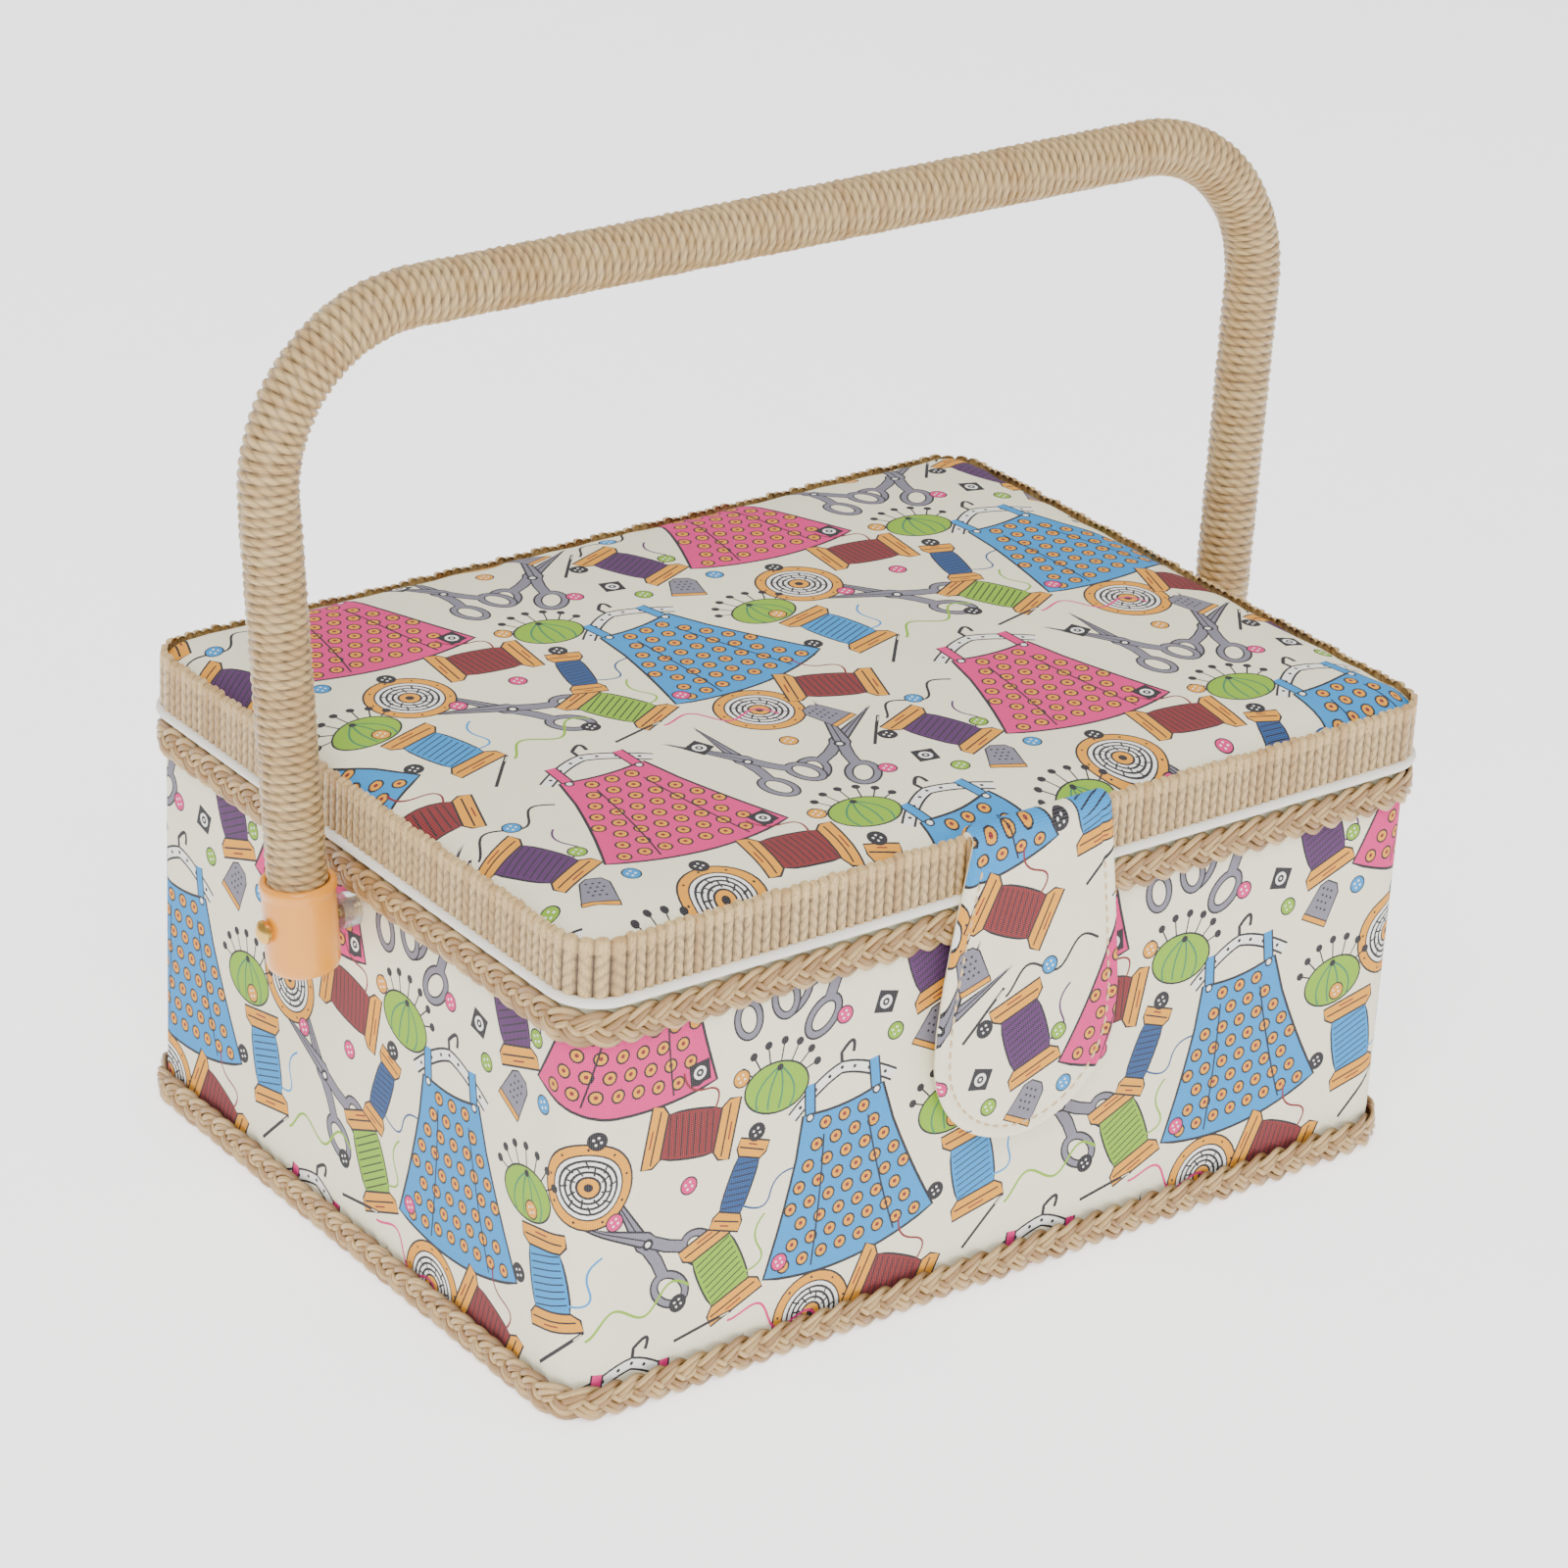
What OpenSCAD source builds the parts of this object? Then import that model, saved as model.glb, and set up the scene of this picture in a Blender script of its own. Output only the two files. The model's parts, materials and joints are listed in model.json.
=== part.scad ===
// Sewing box with a padded hinged lid, two lift-out trays and a wrapped carrying handle.
// Millimetres. +X is the width, +Y the back, +Z up; the origin is the middle of the base.

/* [Body] */
// Width over the cloth-covered walls
body_w = 296; // [240:1:360]
// Depth over the cloth-covered walls
body_d = 220; // [180:1:270]
// Height of the body, up to its rim
body_h = 126; // [105:1:155]
// Outer radius of the upright corners
corner_r = 12; // [8:1:18]
// Thickness of the boards
board_t = 4; // [3:0.5:6]
// Thickness of the covering cloth
cloth_t = 1; // [0.6:0.1:1.4]
// Thickness of the satin lining
lining_t = 0.8; // [0.5:0.1:1.2]
// Thickness of the floor pad
floor_pad_t = 2; // [1:0.5:4]

/* [Plaits] */
// Height of the plait round the rim
rim_plait_h = 11.2; // [8:0.1:12]
// Thickness of the plait round the rim
rim_plait_t = 2.5; // [1.5:0.1:3]
// Height of the plait round the foot
foot_plait_h = 11; // [8:0.5:16]
// Thickness of the plait round the foot
foot_plait_t = 3; // [1.5:0.1:4]

/* [Lid] */
// Height of the wooden lid frame
lid_frame_h = 15.4; // [13:0.1:22]
// Width of the wooden lid frame
lid_frame_t = 6; // [4:0.5:9]
// Height that the pad rises above the frame at its edge
pad_edge_h = 3.6; // [2:0.1:6]
// Height that the pad's crown rises above its edge
pad_crown_h = 5; // [2:0.5:9]
// Thickness of the twine band
band_t = 2; // [1.2:0.1:3]
// Diameter of the piping cord
piping_d = 3; // [2:0.1:3.4]

/* [Handle] */
// Height of the middle of the grip bar above the pivot
handle_h = 172; // [150:1:210]
// Diameter of the twine wrap
wrap_d = 17; // [13:0.5:19]
// Diameter of the steel tube inside it
core_d = 10; // [8:0.5:11]
// Wall of the steel tube
core_wall = 1; // [0.6:0.1:1.5]
// Radius of the two upper bends
bend_r = 46; // [30:1:60]
// Angle by which the legs splay
splay = 3.2; // [0:0.2:6]
// Angle by which the handle leans back at rest
lean = 3; // [0:0.5:6]
// Diameter of the moulded sockets
socket_d = 21; // [20:0.5:25]
// Height of the moulded sockets
socket_h = 27; // [22:1:34]
// Length of the clear spacers
spacer_len = 5.4; // [4:0.1:9]
// Diameter of the clear spacers
spacer_d = 10; // [7:0.5:11]
// Diameter of the pivot rivets
rivet_d = 4; // [3:0.1:5]

/* [Flap] */
// Width of the flap at the lid
flap_top_w = 48; // [36:1:60]
// Width of the flap at its widest
flap_w = 64; // [50:1:76]
// Length of the flap
flap_len = 98; // [80:1:104]
// Thickness of the flap
flap_t = 3; // [2:0.5:4]
// Diameter of the snap fastener
snap_d = 11; // [8:0.5:15]

/* [Trays] */
// Depth of the trays
tray_h = 34; // [24:1:44]
// Wall of the trays
tray_wall = 1.6; // [1.2:0.1:2.4]
// Gap from the rim down to the top of the trays
tray_drop = 8; // [7:0.5:14]
// Width of the rails that the trays rest on
rail_w = 6; // [4:0.5:8]
// Thickness of the rails
rail_t = 4; // [3:0.5:6]

/* [Hinges] */
// Width of each hinge
hinge_w = 30; // [22:1:40]
// Distance of each hinge from the middle
hinge_x = 90; // [60:1:100]
// Outer radius of the knuckles
knuckle_r = 2.4; // [2:0.1:3]
// Radius of the hinge pins
hinge_pin_r = 1; // [0.7:0.1:1.2]
// Thickness of the leaves
leaf_t = 0.8; // [0.6:0.1:1]

/* [Hidden] */
$fn = 64;
// clearances
run_gap = 0.04;
rivet_gap = 0.05;
rub_gap = 0.3;
lid_gap = 0.6;
eps = 0.01;
// body
wall_x = body_w / 2;
wall_y = body_d / 2;
board_x = wall_x - cloth_t;
board_y = wall_y - cloth_t;
board_r = corner_r - cloth_t;
post_x = board_x - board_r;
post_y = board_y - board_r;
in_x = board_x - board_t;
in_y = board_y - board_t;
floor_z = cloth_t + board_t;
cavity_x = in_x - lining_t;
cavity_y = in_y - lining_t;
rim_plait_top = body_h - 0.3;
rim_plait_z = rim_plait_top - rim_plait_h;
foot_plait_z = 0.3;
// lid
lid_z = body_h + lid_gap;
frame_top = lid_z + lid_frame_h;
panel_t = 4;
panel_z = frame_top - panel_t;
band_z = lid_z + piping_d + 0.1;
band_top = frame_top + pad_edge_h + 0.4;
pad_inset = 0.2;
cover_t = 0.8;
// how far each layer of the pad steps in, and its share of the crown's height
pad_steps = [[0, 0], [9, 0.45], [26, 0.8], [55, 1]];
piping_z = lid_z + piping_d / 2;
// hinges
axis_y = wall_y + 0.2 + knuckle_r;
axis_z = body_h + lid_gap / 2;
leaf_y = wall_y + 0.2;
leaf_h = 12.5;
knuckle_gap = 0.1;
knuckle_w = hinge_w / 3;
screw_r = 1.1;
screw_head_r = 2;
screw_head_t = 0.8;
screw_len = 3.6;
leaf_room = 0.4;
// handle
pivot_z = rim_plait_z - spacer_d / 2 - 0.4;
socket_x = wall_x + rub_gap + spacer_len + 0.8 + socket_d / 2;
bar_z = handle_h;
leg_run = (bar_z - bend_r - bend_r * sin(splay)) / cos(splay);
bend_x = socket_x + leg_run * sin(splay) - bend_r * cos(splay);
socket_low = socket_h / 2;
seat_z = 6;
seat_gap = 0.1;
rivet_head_r = 3.4;
rivet_head_t = 2.6;
rivet_dome_r = 4.4;
nut_r = 4.5;
nut_t = 2.6;
// flap
flap_y = -(wall_y + band_t + 1.2);
flap_top = band_top + 1;
root_t = 0.8;
snap_z = flap_top - flap_len + flap_w / 4;
snap_cap_t = 1;
flap_flare = 8;
flap_segments = 30;
// trays
tray_top = body_h - tray_drop;
tray_z = tray_top - tray_h;
flange_t = 2;
flange_z = tray_top - 6;
tray_gap = 1;
tray_x = post_x - 1.5;
tray_y = cavity_y - rail_w - 1.2;
tray_r = 6;
rail_z = flange_z - rail_t;
rail_x = post_x - 6;
divider_t = 1.4;
tray_floor = 1.6;
// inside of the lid
lid_lining_z = panel_z - lining_t;
pocket_w = body_w - 46;
pocket_y0 = -5;
pocket_y1 = wall_y - lid_frame_t - 6;
pocket_t = 6;
pocket_wall = 1.1;
elastic_h = 5;
elastic_t = 0.8;
cushion_x = 46;
cushion_y = 24;
cushion_cy = -(wall_y - lid_frame_t) + cushion_y + 14;
cushion_t = 12;

cloth_c = [0.96, 0.94, 0.87];
raffia_c = [0.74, 0.60, 0.38];
twine_c = [0.90, 0.82, 0.64];
satin_c = [0.95, 0.91, 0.84];
wood_c = [0.80, 0.66, 0.46];
card_c = [0.78, 0.74, 0.66];
yellow_c = [0.96, 0.71, 0.37];
brass_c = [0.80, 0.63, 0.30];
steel_c = [0.70, 0.70, 0.72];
tray_c = [0.93, 0.92, 0.90];
piping_c = [0.97, 0.96, 0.93];
felt_c = [0.80, 0.25, 0.42];

// ---- shared shapes ----

// rounded rectangle of half sizes x and y
module round_rect(x, y, r) {
  union() {
    square([2 * (x - r), 2 * y], center = true);
    square([2 * x, 2 * (y - r)], center = true);
    for (sx = [-1, 1], sy = [-1, 1])
      translate([sx * (x - r), sy * (y - r)])
        circle(r);
  }
}

// ring between two rounded rectangles, t wide, standing on z
module ring(x, y, r, t, z, h) {
  translate([0, 0, z])
    linear_extrude(h)
      difference() {
        round_rect(x, y, r);
        round_rect(x - t, y - t, r - t);
      }
}

// rounded cord that follows a rounded rectangle through its middle line
module cord_ring(x, y, r, d, z) {
  translate([0, 0, z]) {
    for (s = [-1, 1]) {
      translate([s * x, 0, 0])
        rotate([90, 0, 0])
          cylinder(h = 2 * (y - r), d = d, center = true);
      translate([0, s * y, 0])
        rotate([0, 90, 0])
          cylinder(h = 2 * (x - r), d = d, center = true);
    }
    for (i = [0 : 3])
      translate([(i == 0 || i == 3 ? 1 : -1) * (x - r), (i < 2 ? 1 : -1) * (y - r), 0])
        rotate([0, 0, 90 * i])
          rotate_extrude(angle = 90)
            translate([r, 0])
              circle(d = d);
  }
}

module bore_x(r, z) {
  translate([0, 0, z])
    rotate([0, 90, 0])
      cylinder(h = body_w + 100, r = r, center = true);
}

// room that the hinge leaves need in what covers the back
module hinge_room() {
  for (s = [-1, 1])
    translate([s * hinge_x - hinge_w / 2 - leaf_room, wall_y, axis_z - leaf_h - leaf_room])
      cube([hinge_w + 2 * leaf_room, 20, 2 * (leaf_h + leaf_room)]);
}

// screw holes of one side, dir -1 for the body and 1 for the lid
module screw_row(dir, r, h, y) {
  for (s = [-1, 1], k = [-1, 1])
    translate([s * hinge_x + k * hinge_w / 3, y, axis_z + dir * leaf_h * 0.62])
      rotate([90, 0, 0])
        cylinder(h = h, r = r);
}

// ---- body ----

module base_panel() {
  color(wood_c)
    translate([0, 0, cloth_t])
      linear_extrude(board_t)
        round_rect(board_x, board_y, board_r);
}

module base_cloth() {
  color(card_c)
    linear_extrude(cloth_t)
      round_rect(board_x, board_y, board_r);
}

module long_board() {
  translate([-post_x, -board_t, floor_z])
    cube([2 * post_x, board_t, body_h - floor_z]);
}

module front_panel() {
  color(wood_c)
    difference() {
      translate([0, -in_y, 0])
        long_board();
      translate([0, -board_y + 2, snap_z])
        rotate([90, 0, 0])
          cylinder(h = 10, r = screw_r);
    }
}

module back_panel() {
  color(wood_c)
    difference() {
      translate([0, board_y, 0])
        long_board();
      screw_row(-1, screw_r, screw_len, wall_y + 1);
    }
}

module side_board(s) {
  difference() {
    translate([s > 0 ? in_x : -board_x, -post_y, floor_z])
      cube([board_t, 2 * post_y, body_h - floor_z]);
    bore_x(rivet_d / 2 + rivet_gap, pivot_z);
  }
}

module left_panel() {
  color(wood_c) side_board(-1);
}

module right_panel() {
  color(wood_c) side_board(1);
}

module corner_posts() {
  color(wood_c)
    for (i = [0 : 3])
      translate([(i == 0 || i == 3 ? 1 : -1) * post_x, (i < 2 ? 1 : -1) * post_y, floor_z])
        rotate([0, 0, 90 * i])
          intersection() {
            cylinder(h = body_h - floor_z, r = board_r);
            cube([board_r + 1, board_r + 1, body_h]);
          }
}

module body_cover() {
  color(cloth_c)
    difference() {
      ring(wall_x, wall_y, corner_r, cloth_t, foot_plait_z, body_h - foot_plait_z);
      bore_x(rivet_d / 2 + rivet_gap, pivot_z);
      screw_row(-1, screw_r, screw_len, wall_y + 1);
      translate([0, -wall_y + 2, snap_z])
        rotate([90, 0, 0])
          cylinder(h = 10, r = screw_r);
    }
}

module body_lining() {
  color(satin_c)
    difference() {
      for (s = [-1, 1]) {
        translate([s * (in_x - lining_t / 2), 0, (body_h + floor_z) / 2])
          cube([lining_t, 2 * post_y, body_h - floor_z], center = true);
        translate([0, s * (in_y - lining_t / 2), (body_h + floor_z) / 2])
          cube([2 * post_x, lining_t, body_h - floor_z], center = true);
      }
      bore_x(rivet_d / 2 + rivet_gap, pivot_z);
    }
}

module floor_pad() {
  color(satin_c)
    translate([0, 0, floor_z])
      linear_extrude(floor_pad_t)
        round_rect(post_x - 0.3, post_y - 0.3, 3);
}

module rim_plait() {
  color(raffia_c)
    difference() {
      ring(wall_x + rim_plait_t, wall_y + rim_plait_t, corner_r + rim_plait_t, rim_plait_t,
           rim_plait_z, rim_plait_h);
      hinge_room();
    }
}

module foot_plait() {
  color(raffia_c)
    ring(wall_x + foot_plait_t, wall_y + foot_plait_t, corner_r + foot_plait_t, foot_plait_t,
         foot_plait_z, foot_plait_h);
}

module tray_rail() {
  translate([-rail_x, cavity_y - rail_w, rail_z])
    cube([2 * rail_x, rail_w, rail_t]);
}

module back_tray_rail() {
  color(wood_c) tray_rail();
}

module front_tray_rail() {
  color(wood_c)
    mirror([0, 1, 0])
      tray_rail();
}

module snap_stud() {
  color(brass_c)
    translate([0, 0, snap_z])
      rotate([90, 0, 0]) {
        translate([0, 0, wall_y])
          cylinder(h = -flap_y - wall_y - rub_gap, d = snap_d);
        translate([0, 0, wall_y - 3])
          cylinder(h = 3.5, r = screw_r);
      }
}

// ---- hinges ----

// one leaf with its knuckles; dir -1 hangs down on the body, 1 stands up on the lid
module leaf(dir, slots) {
  difference() {
    union() {
      translate([-hinge_w / 2, leaf_y, dir < 0 ? axis_z - leaf_h : axis_z + knuckle_gap])
        cube([hinge_w, leaf_t, leaf_h - knuckle_gap]);
      for (k = slots)
        translate([k * knuckle_w, axis_y, axis_z])
          rotate([0, 90, 0])
            cylinder(h = knuckle_w - 2 * knuckle_gap, r = knuckle_r, center = true);
    }
    for (k = [-1, 0, 1])
      if (len([for (q = slots) if (q == k) q]) == 0)
        translate([k * knuckle_w, axis_y, axis_z])
          rotate([0, 90, 0])
            cylinder(h = knuckle_w + eps, r = knuckle_r + 2 * knuckle_gap, center = true);
    translate([0, axis_y, axis_z])
      rotate([0, 90, 0])
        cylinder(h = hinge_w + 2, r = hinge_pin_r + run_gap, center = true);
  }
}

module leaves(dir, slots) {
  color(brass_c)
    difference() {
      for (s = [-1, 1])
        translate([s * hinge_x, 0, 0])
          leaf(dir, slots);
      screw_row(dir, screw_r, 8, wall_y + 5);
    }
}

module hinge_body_leaves() {
  leaves(-1, [-1, 1]);
}

module hinge_lid_leaves() {
  leaves(1, [0]);
}

module hinge_pins() {
  color(steel_c)
    for (s = [-1, 1])
      translate([s * hinge_x, axis_y, axis_z])
        rotate([0, 90, 0])
          cylinder(h = hinge_w, r = hinge_pin_r, center = true);
}

module hinge_screws(dir) {
  color(brass_c) {
    screw_row(dir, screw_r, screw_len, leaf_y + leaf_t);
    screw_row(dir, screw_head_r, screw_head_t, leaf_y + leaf_t + screw_head_t);
  }
}

module body_hinge_screws() {
  hinge_screws(-1);
}

module lid_hinge_screws() {
  hinge_screws(1);
}

// ---- lid ----

module lid_frame() {
  color(wood_c)
    difference() {
      ring(wall_x, wall_y, corner_r, lid_frame_t, lid_z, lid_frame_h);
      screw_row(1, screw_r, screw_len, wall_y + 1);
    }
}

module lid_panel() {
  color(wood_c)
    translate([0, 0, panel_z])
      linear_extrude(panel_t)
        round_rect(wall_x - lid_frame_t, wall_y - lid_frame_t, corner_r - lid_frame_t);
}

// slab that steps in towards its crown; grow puts a skin of that thickness over it
module crowned(grow) {
  for (p = pad_steps)
    translate([0, 0, frame_top])
      linear_extrude(pad_edge_h + p[1] * pad_crown_h + grow)
        round_rect(wall_x - pad_inset - cover_t - p[0] + grow,
                   wall_y - pad_inset - cover_t - p[0] + grow, corner_r - cover_t + grow);
}

module lid_pad() {
  color(cloth_c) crowned(0);
}

module lid_cover() {
  color(cloth_c)
    difference() {
      crowned(cover_t);
      crowned(0);
    }
}

module lid_band() {
  color(twine_c)
    difference() {
      ring(wall_x + band_t, wall_y + band_t, corner_r + band_t, band_t, band_z,
           band_top - band_z);
      hinge_room();
    }
}

module lid_piping() {
  color(piping_c)
    difference() {
      cord_ring(wall_x + piping_d / 2, wall_y + piping_d / 2, corner_r + piping_d / 2,
                piping_d, piping_z);
      hinge_room();
    }
}

module lid_lining() {
  color(satin_c)
    translate([0, 0, lid_lining_z])
      linear_extrude(lining_t)
        round_rect(wall_x - lid_frame_t - 0.3, wall_y - lid_frame_t - 0.3,
                   corner_r - lid_frame_t);
}

module lid_pocket() {
  depth = pocket_y1 - pocket_y0;
  color(satin_c)
    difference() {
      translate([-pocket_w / 2, pocket_y0, lid_lining_z - pocket_t])
        cube([pocket_w, depth, pocket_t]);
      translate([-pocket_w / 2 + pocket_wall, pocket_y0 - 1,
                 lid_lining_z - pocket_t + pocket_wall])
        cube([pocket_w - 2 * pocket_wall, depth + 1 - pocket_wall,
              pocket_t - 2 * pocket_wall]);
    }
}

module pocket_elastic() {
  color(satin_c)
    translate([-pocket_w / 2, pocket_y0, lid_lining_z - pocket_t - elastic_t])
      cube([pocket_w, elastic_h, elastic_t]);
}

module lid_pincushion() {
  color(felt_c)
    translate([0, cushion_cy, lid_lining_z - cushion_t])
      hull() {
        translate([0, 0, cushion_t - 1])
          linear_extrude(1)
            round_rect(cushion_x, cushion_y, 12, $fn = 32);
        translate([0, 0, cushion_t * 0.4])
          linear_extrude(1)
            round_rect(cushion_x + 1, cushion_y + 1, 12, $fn = 32);
        linear_extrude(eps)
          round_rect(cushion_x - 12, cushion_y - 10, 8, $fn = 32);
      }
}

// ---- flap ----

module flap_root() {
  color(cloth_c)
    translate([-flap_top_w / 2, flap_y + 0.3, flap_top - 9])
      cube([flap_top_w, root_t, 8.6]);
}

// outline in the flap's plane: from the lid it widens, then ends in a half circle
module flap_outline() {
  r = flap_w / 2;
  round_z = flap_top - flap_len + r;
  end = [for (i = [0 : flap_segments])
    let (a = -180 * i / flap_segments)
      [r * cos(a), round_z + r * sin(a)]];
  polygon(concat([
    [-r, round_z + flap_flare],
    [-flap_top_w / 2, flap_top],
    [flap_top_w / 2, flap_top],
    [r, round_z + flap_flare]
  ], end));
}

module flap() {
  color(cloth_c)
    difference() {
      translate([0, flap_y, 0])
        rotate([90, 0, 0])
          linear_extrude(flap_t)
            flap_outline();
      translate([0, flap_y + 1, snap_z])
        rotate([90, 0, 0])
          cylinder(h = snap_cap_t + 1, d = snap_d);
    }
}

// the half of the snap that is let into the flap's inner face
module snap_cap() {
  color(brass_c)
    translate([0, flap_y, snap_z])
      rotate([90, 0, 0])
        cylinder(h = snap_cap_t, d = snap_d);
}

// ---- pivots ----

module rivet(s) {
  x0 = in_x - lining_t - nut_t - 1.2;
  x1 = socket_x + socket_d / 2 + 0.8;
  color(brass_c)
    translate([0, 0, pivot_z])
      rotate([0, s * 90, 0]) {
        translate([0, 0, x0])
          cylinder(h = x1 - x0 + 0.5, d = rivet_d);
        translate([0, 0, x1])
          rotate_extrude()
            intersection() {
              square([rivet_head_r, rivet_head_t]);
              translate([0, rivet_head_t - rivet_dome_r])
                circle(rivet_dome_r);
            }
      }
}

module pivot_rivet_left() {
  rivet(-1);
}

module pivot_rivet_right() {
  rivet(1);
}

module spacer(s) {
  color([0.92, 0.93, 0.94, 0.5])
    translate([0, 0, pivot_z])
      rotate([0, s * 90, 0])
        translate([0, 0, wall_x + rub_gap])
          difference() {
            cylinder(h = spacer_len, d = spacer_d);
            translate([0, 0, -1])
              cylinder(h = spacer_len + 2, r = rivet_d / 2);
          }
}

module spacer_left() {
  spacer(-1);
}

module spacer_right() {
  spacer(1);
}

module pivot_nuts() {
  color(steel_c)
    for (s = [-1, 1])
      translate([0, 0, pivot_z])
        rotate([0, s * 90, 0])
          translate([0, 0, cavity_x - rub_gap - nut_t])
            difference() {
              cylinder(h = nut_t, r = nut_r, $fn = 6);
              translate([0, 0, -1])
                cylinder(h = nut_t + 2, r = rivet_d / 2);
            }
}

// ---- handle ----

// puts its children in the handle's own frame: pivot axis through the origin
module handle_frame() {
  translate([0, 0, pivot_z])
    rotate([-lean, 0, 0])
      children();
}

// straight tube along Z
module tube(h, ro, ri) {
  difference() {
    cylinder(h = h, r = ro);
    translate([0, 0, -1])
      cylinder(h = h + 2, r = ri);
  }
}

// bent tube from the two sockets over the grip bar: two legs, two bends and the bar
module bent_tube(ro, ri, start) {
  handle_frame() {
    for (s = [0, 1])
      mirror([s, 0, 0]) {
        translate([socket_x, 0, 0])
          rotate([0, splay, 0])
            translate([0, 0, start])
              tube(leg_run - start - eps, ro, ri);
        translate([bend_x, 0, bar_z - bend_r])
          rotate([90, 0, 0])
            rotate([0, 0, -splay])
              rotate_extrude(angle = 90 + splay)
                translate([bend_r, 0])
                  difference() {
                    circle(ro);
                    circle(ri);
                  }
      }
    translate([eps - bend_x, 0, bar_z])
      rotate([0, 90, 0])
        tube(2 * (bend_x - eps), ro, ri);
  }
}

module handle_core() {
  color(steel_c) bent_tube(core_d / 2, core_d / 2 - core_wall, seat_z + 0.2);
}

module handle_wrap() {
  color(twine_c) bent_tube(wrap_d / 2, core_d / 2, seat_z + 0.2);
}

module socket(s) {
  color(yellow_c)
    difference() {
      handle_frame()
        mirror([s < 0 ? 1 : 0, 0, 0])
          translate([socket_x, 0, 0])
            rotate([0, splay, 0])
              difference() {
                translate([0, 0, -socket_low])
                  cylinder(h = socket_h, d = socket_d);
                translate([0, 0, seat_z])
                  cylinder(h = socket_h, r = wrap_d / 2 + seat_gap);
              }
      bore_x(rivet_d / 2 + rivet_gap, pivot_z);
    }
}

module socket_left() {
  socket(-1);
}

module socket_right() {
  socket(1);
}

// ---- trays ----

// one compartment, from (x0, y0) to (x1, y1)
module compartment(x0, y0, x1, y1) {
  translate([(x0 + x1) / 2, (y0 + y1) / 2, tray_z + tray_floor])
    linear_extrude(tray_h)
      round_rect((x1 - x0) / 2, (y1 - y0) / 2, tray_r - tray_wall);
}

module tray() {
  xa = tray_gap;
  xb = tray_x;
  xm = (xa + xb) / 2;
  ym = -tray_y * 0.34;
  color(tray_c)
    difference() {
      translate([xm, 0, 0])
        union() {
          translate([0, 0, tray_z])
            linear_extrude(tray_h)
              round_rect((xb - xa) / 2, tray_y, tray_r);
          translate([0, 0, flange_z])
            linear_extrude(flange_t)
              round_rect((xb - xa) / 2 - 4, cavity_y - 1.2, 3);
        }
      compartment(xa + tray_wall, ym + divider_t / 2, xb - tray_wall, tray_y - tray_wall);
      compartment(xa + tray_wall, -tray_y + tray_wall, xm - divider_t / 2,
                  ym - divider_t / 2);
      compartment(xm + divider_t / 2, -tray_y + tray_wall, xb - tray_wall,
                  ym - divider_t / 2);
    }
}

module tray_right() {
  tray();
}

module tray_left() {
  mirror([1, 0, 0])
    tray();
}

base_panel();
base_cloth();
front_panel();
back_panel();
left_panel();
right_panel();
corner_posts();
body_cover();
body_lining();
floor_pad();
rim_plait();
foot_plait();
front_tray_rail();
back_tray_rail();
snap_stud();
hinge_body_leaves();
hinge_pins();
body_hinge_screws();
lid_panel();
lid_frame();
lid_pad();
lid_cover();
lid_band();
lid_piping();
lid_lining();
lid_pocket();
pocket_elastic();
lid_pincushion();
hinge_lid_leaves();
lid_hinge_screws();
flap_root();
flap();
snap_cap();
pivot_rivet_left();
pivot_rivet_right();
spacer_left();
spacer_right();
pivot_nuts();
handle_core();
handle_wrap();
socket_left();
socket_right();
tray_left();
tray_right();
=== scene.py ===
import json
import math
import random
import bpy
import numpy as np
from mathutils import Matrix, Vector
from mathutils.geometry import delaunay_2d_cdt


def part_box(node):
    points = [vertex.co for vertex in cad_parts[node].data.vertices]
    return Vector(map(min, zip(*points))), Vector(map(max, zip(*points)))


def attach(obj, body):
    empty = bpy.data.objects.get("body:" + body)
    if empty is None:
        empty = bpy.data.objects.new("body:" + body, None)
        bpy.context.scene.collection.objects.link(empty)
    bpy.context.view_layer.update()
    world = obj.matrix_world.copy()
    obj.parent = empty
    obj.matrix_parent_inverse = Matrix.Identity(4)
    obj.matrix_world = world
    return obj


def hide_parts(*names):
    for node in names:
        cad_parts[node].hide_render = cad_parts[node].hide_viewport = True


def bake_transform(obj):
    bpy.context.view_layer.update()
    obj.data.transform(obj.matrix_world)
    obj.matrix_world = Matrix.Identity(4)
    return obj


# A sewing box: printed cloth over boards, a padded lid with a twine band, plaited edges,
# a twine-wrapped handle and divided trays. Lengths are in millimetres until a mesh is made.
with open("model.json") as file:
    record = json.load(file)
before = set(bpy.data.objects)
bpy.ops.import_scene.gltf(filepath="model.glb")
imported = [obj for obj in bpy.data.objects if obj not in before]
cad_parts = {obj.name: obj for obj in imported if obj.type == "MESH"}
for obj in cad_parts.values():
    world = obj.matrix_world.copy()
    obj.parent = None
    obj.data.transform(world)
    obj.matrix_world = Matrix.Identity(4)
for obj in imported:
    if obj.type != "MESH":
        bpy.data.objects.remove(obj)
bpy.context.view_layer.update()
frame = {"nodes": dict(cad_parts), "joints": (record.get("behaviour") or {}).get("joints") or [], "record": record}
MM = 0.001


def corners(node):
    low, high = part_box(node)
    return np.array(low) / MM, np.array(high) / MM


cover_low, cover_high = corners("body_cover")
WALL_X, WALL_Y, RIM_Z = cover_high
CORNER_R = 12.0
_, lid_high = corners("lid_cover")
band_low, band_high = corners("lid_band")
flap_low, flap_high = corners("flap")
PIVOT = next(np.array(j["pos_m"]) / MM for j in frame["joints"] if j["name"] == "handle_swing")

# ------------------------------------------------------------------ camera, light, floor
AZIMUTH, ELEVATION, ROLL = (math.radians(a) for a in (-37.89, 25.67, 3.09))
LENS = 116.4
DISTANCE = 1.4803
AIM = Vector((0.0021, 0.0034, 0.1082))


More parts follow.
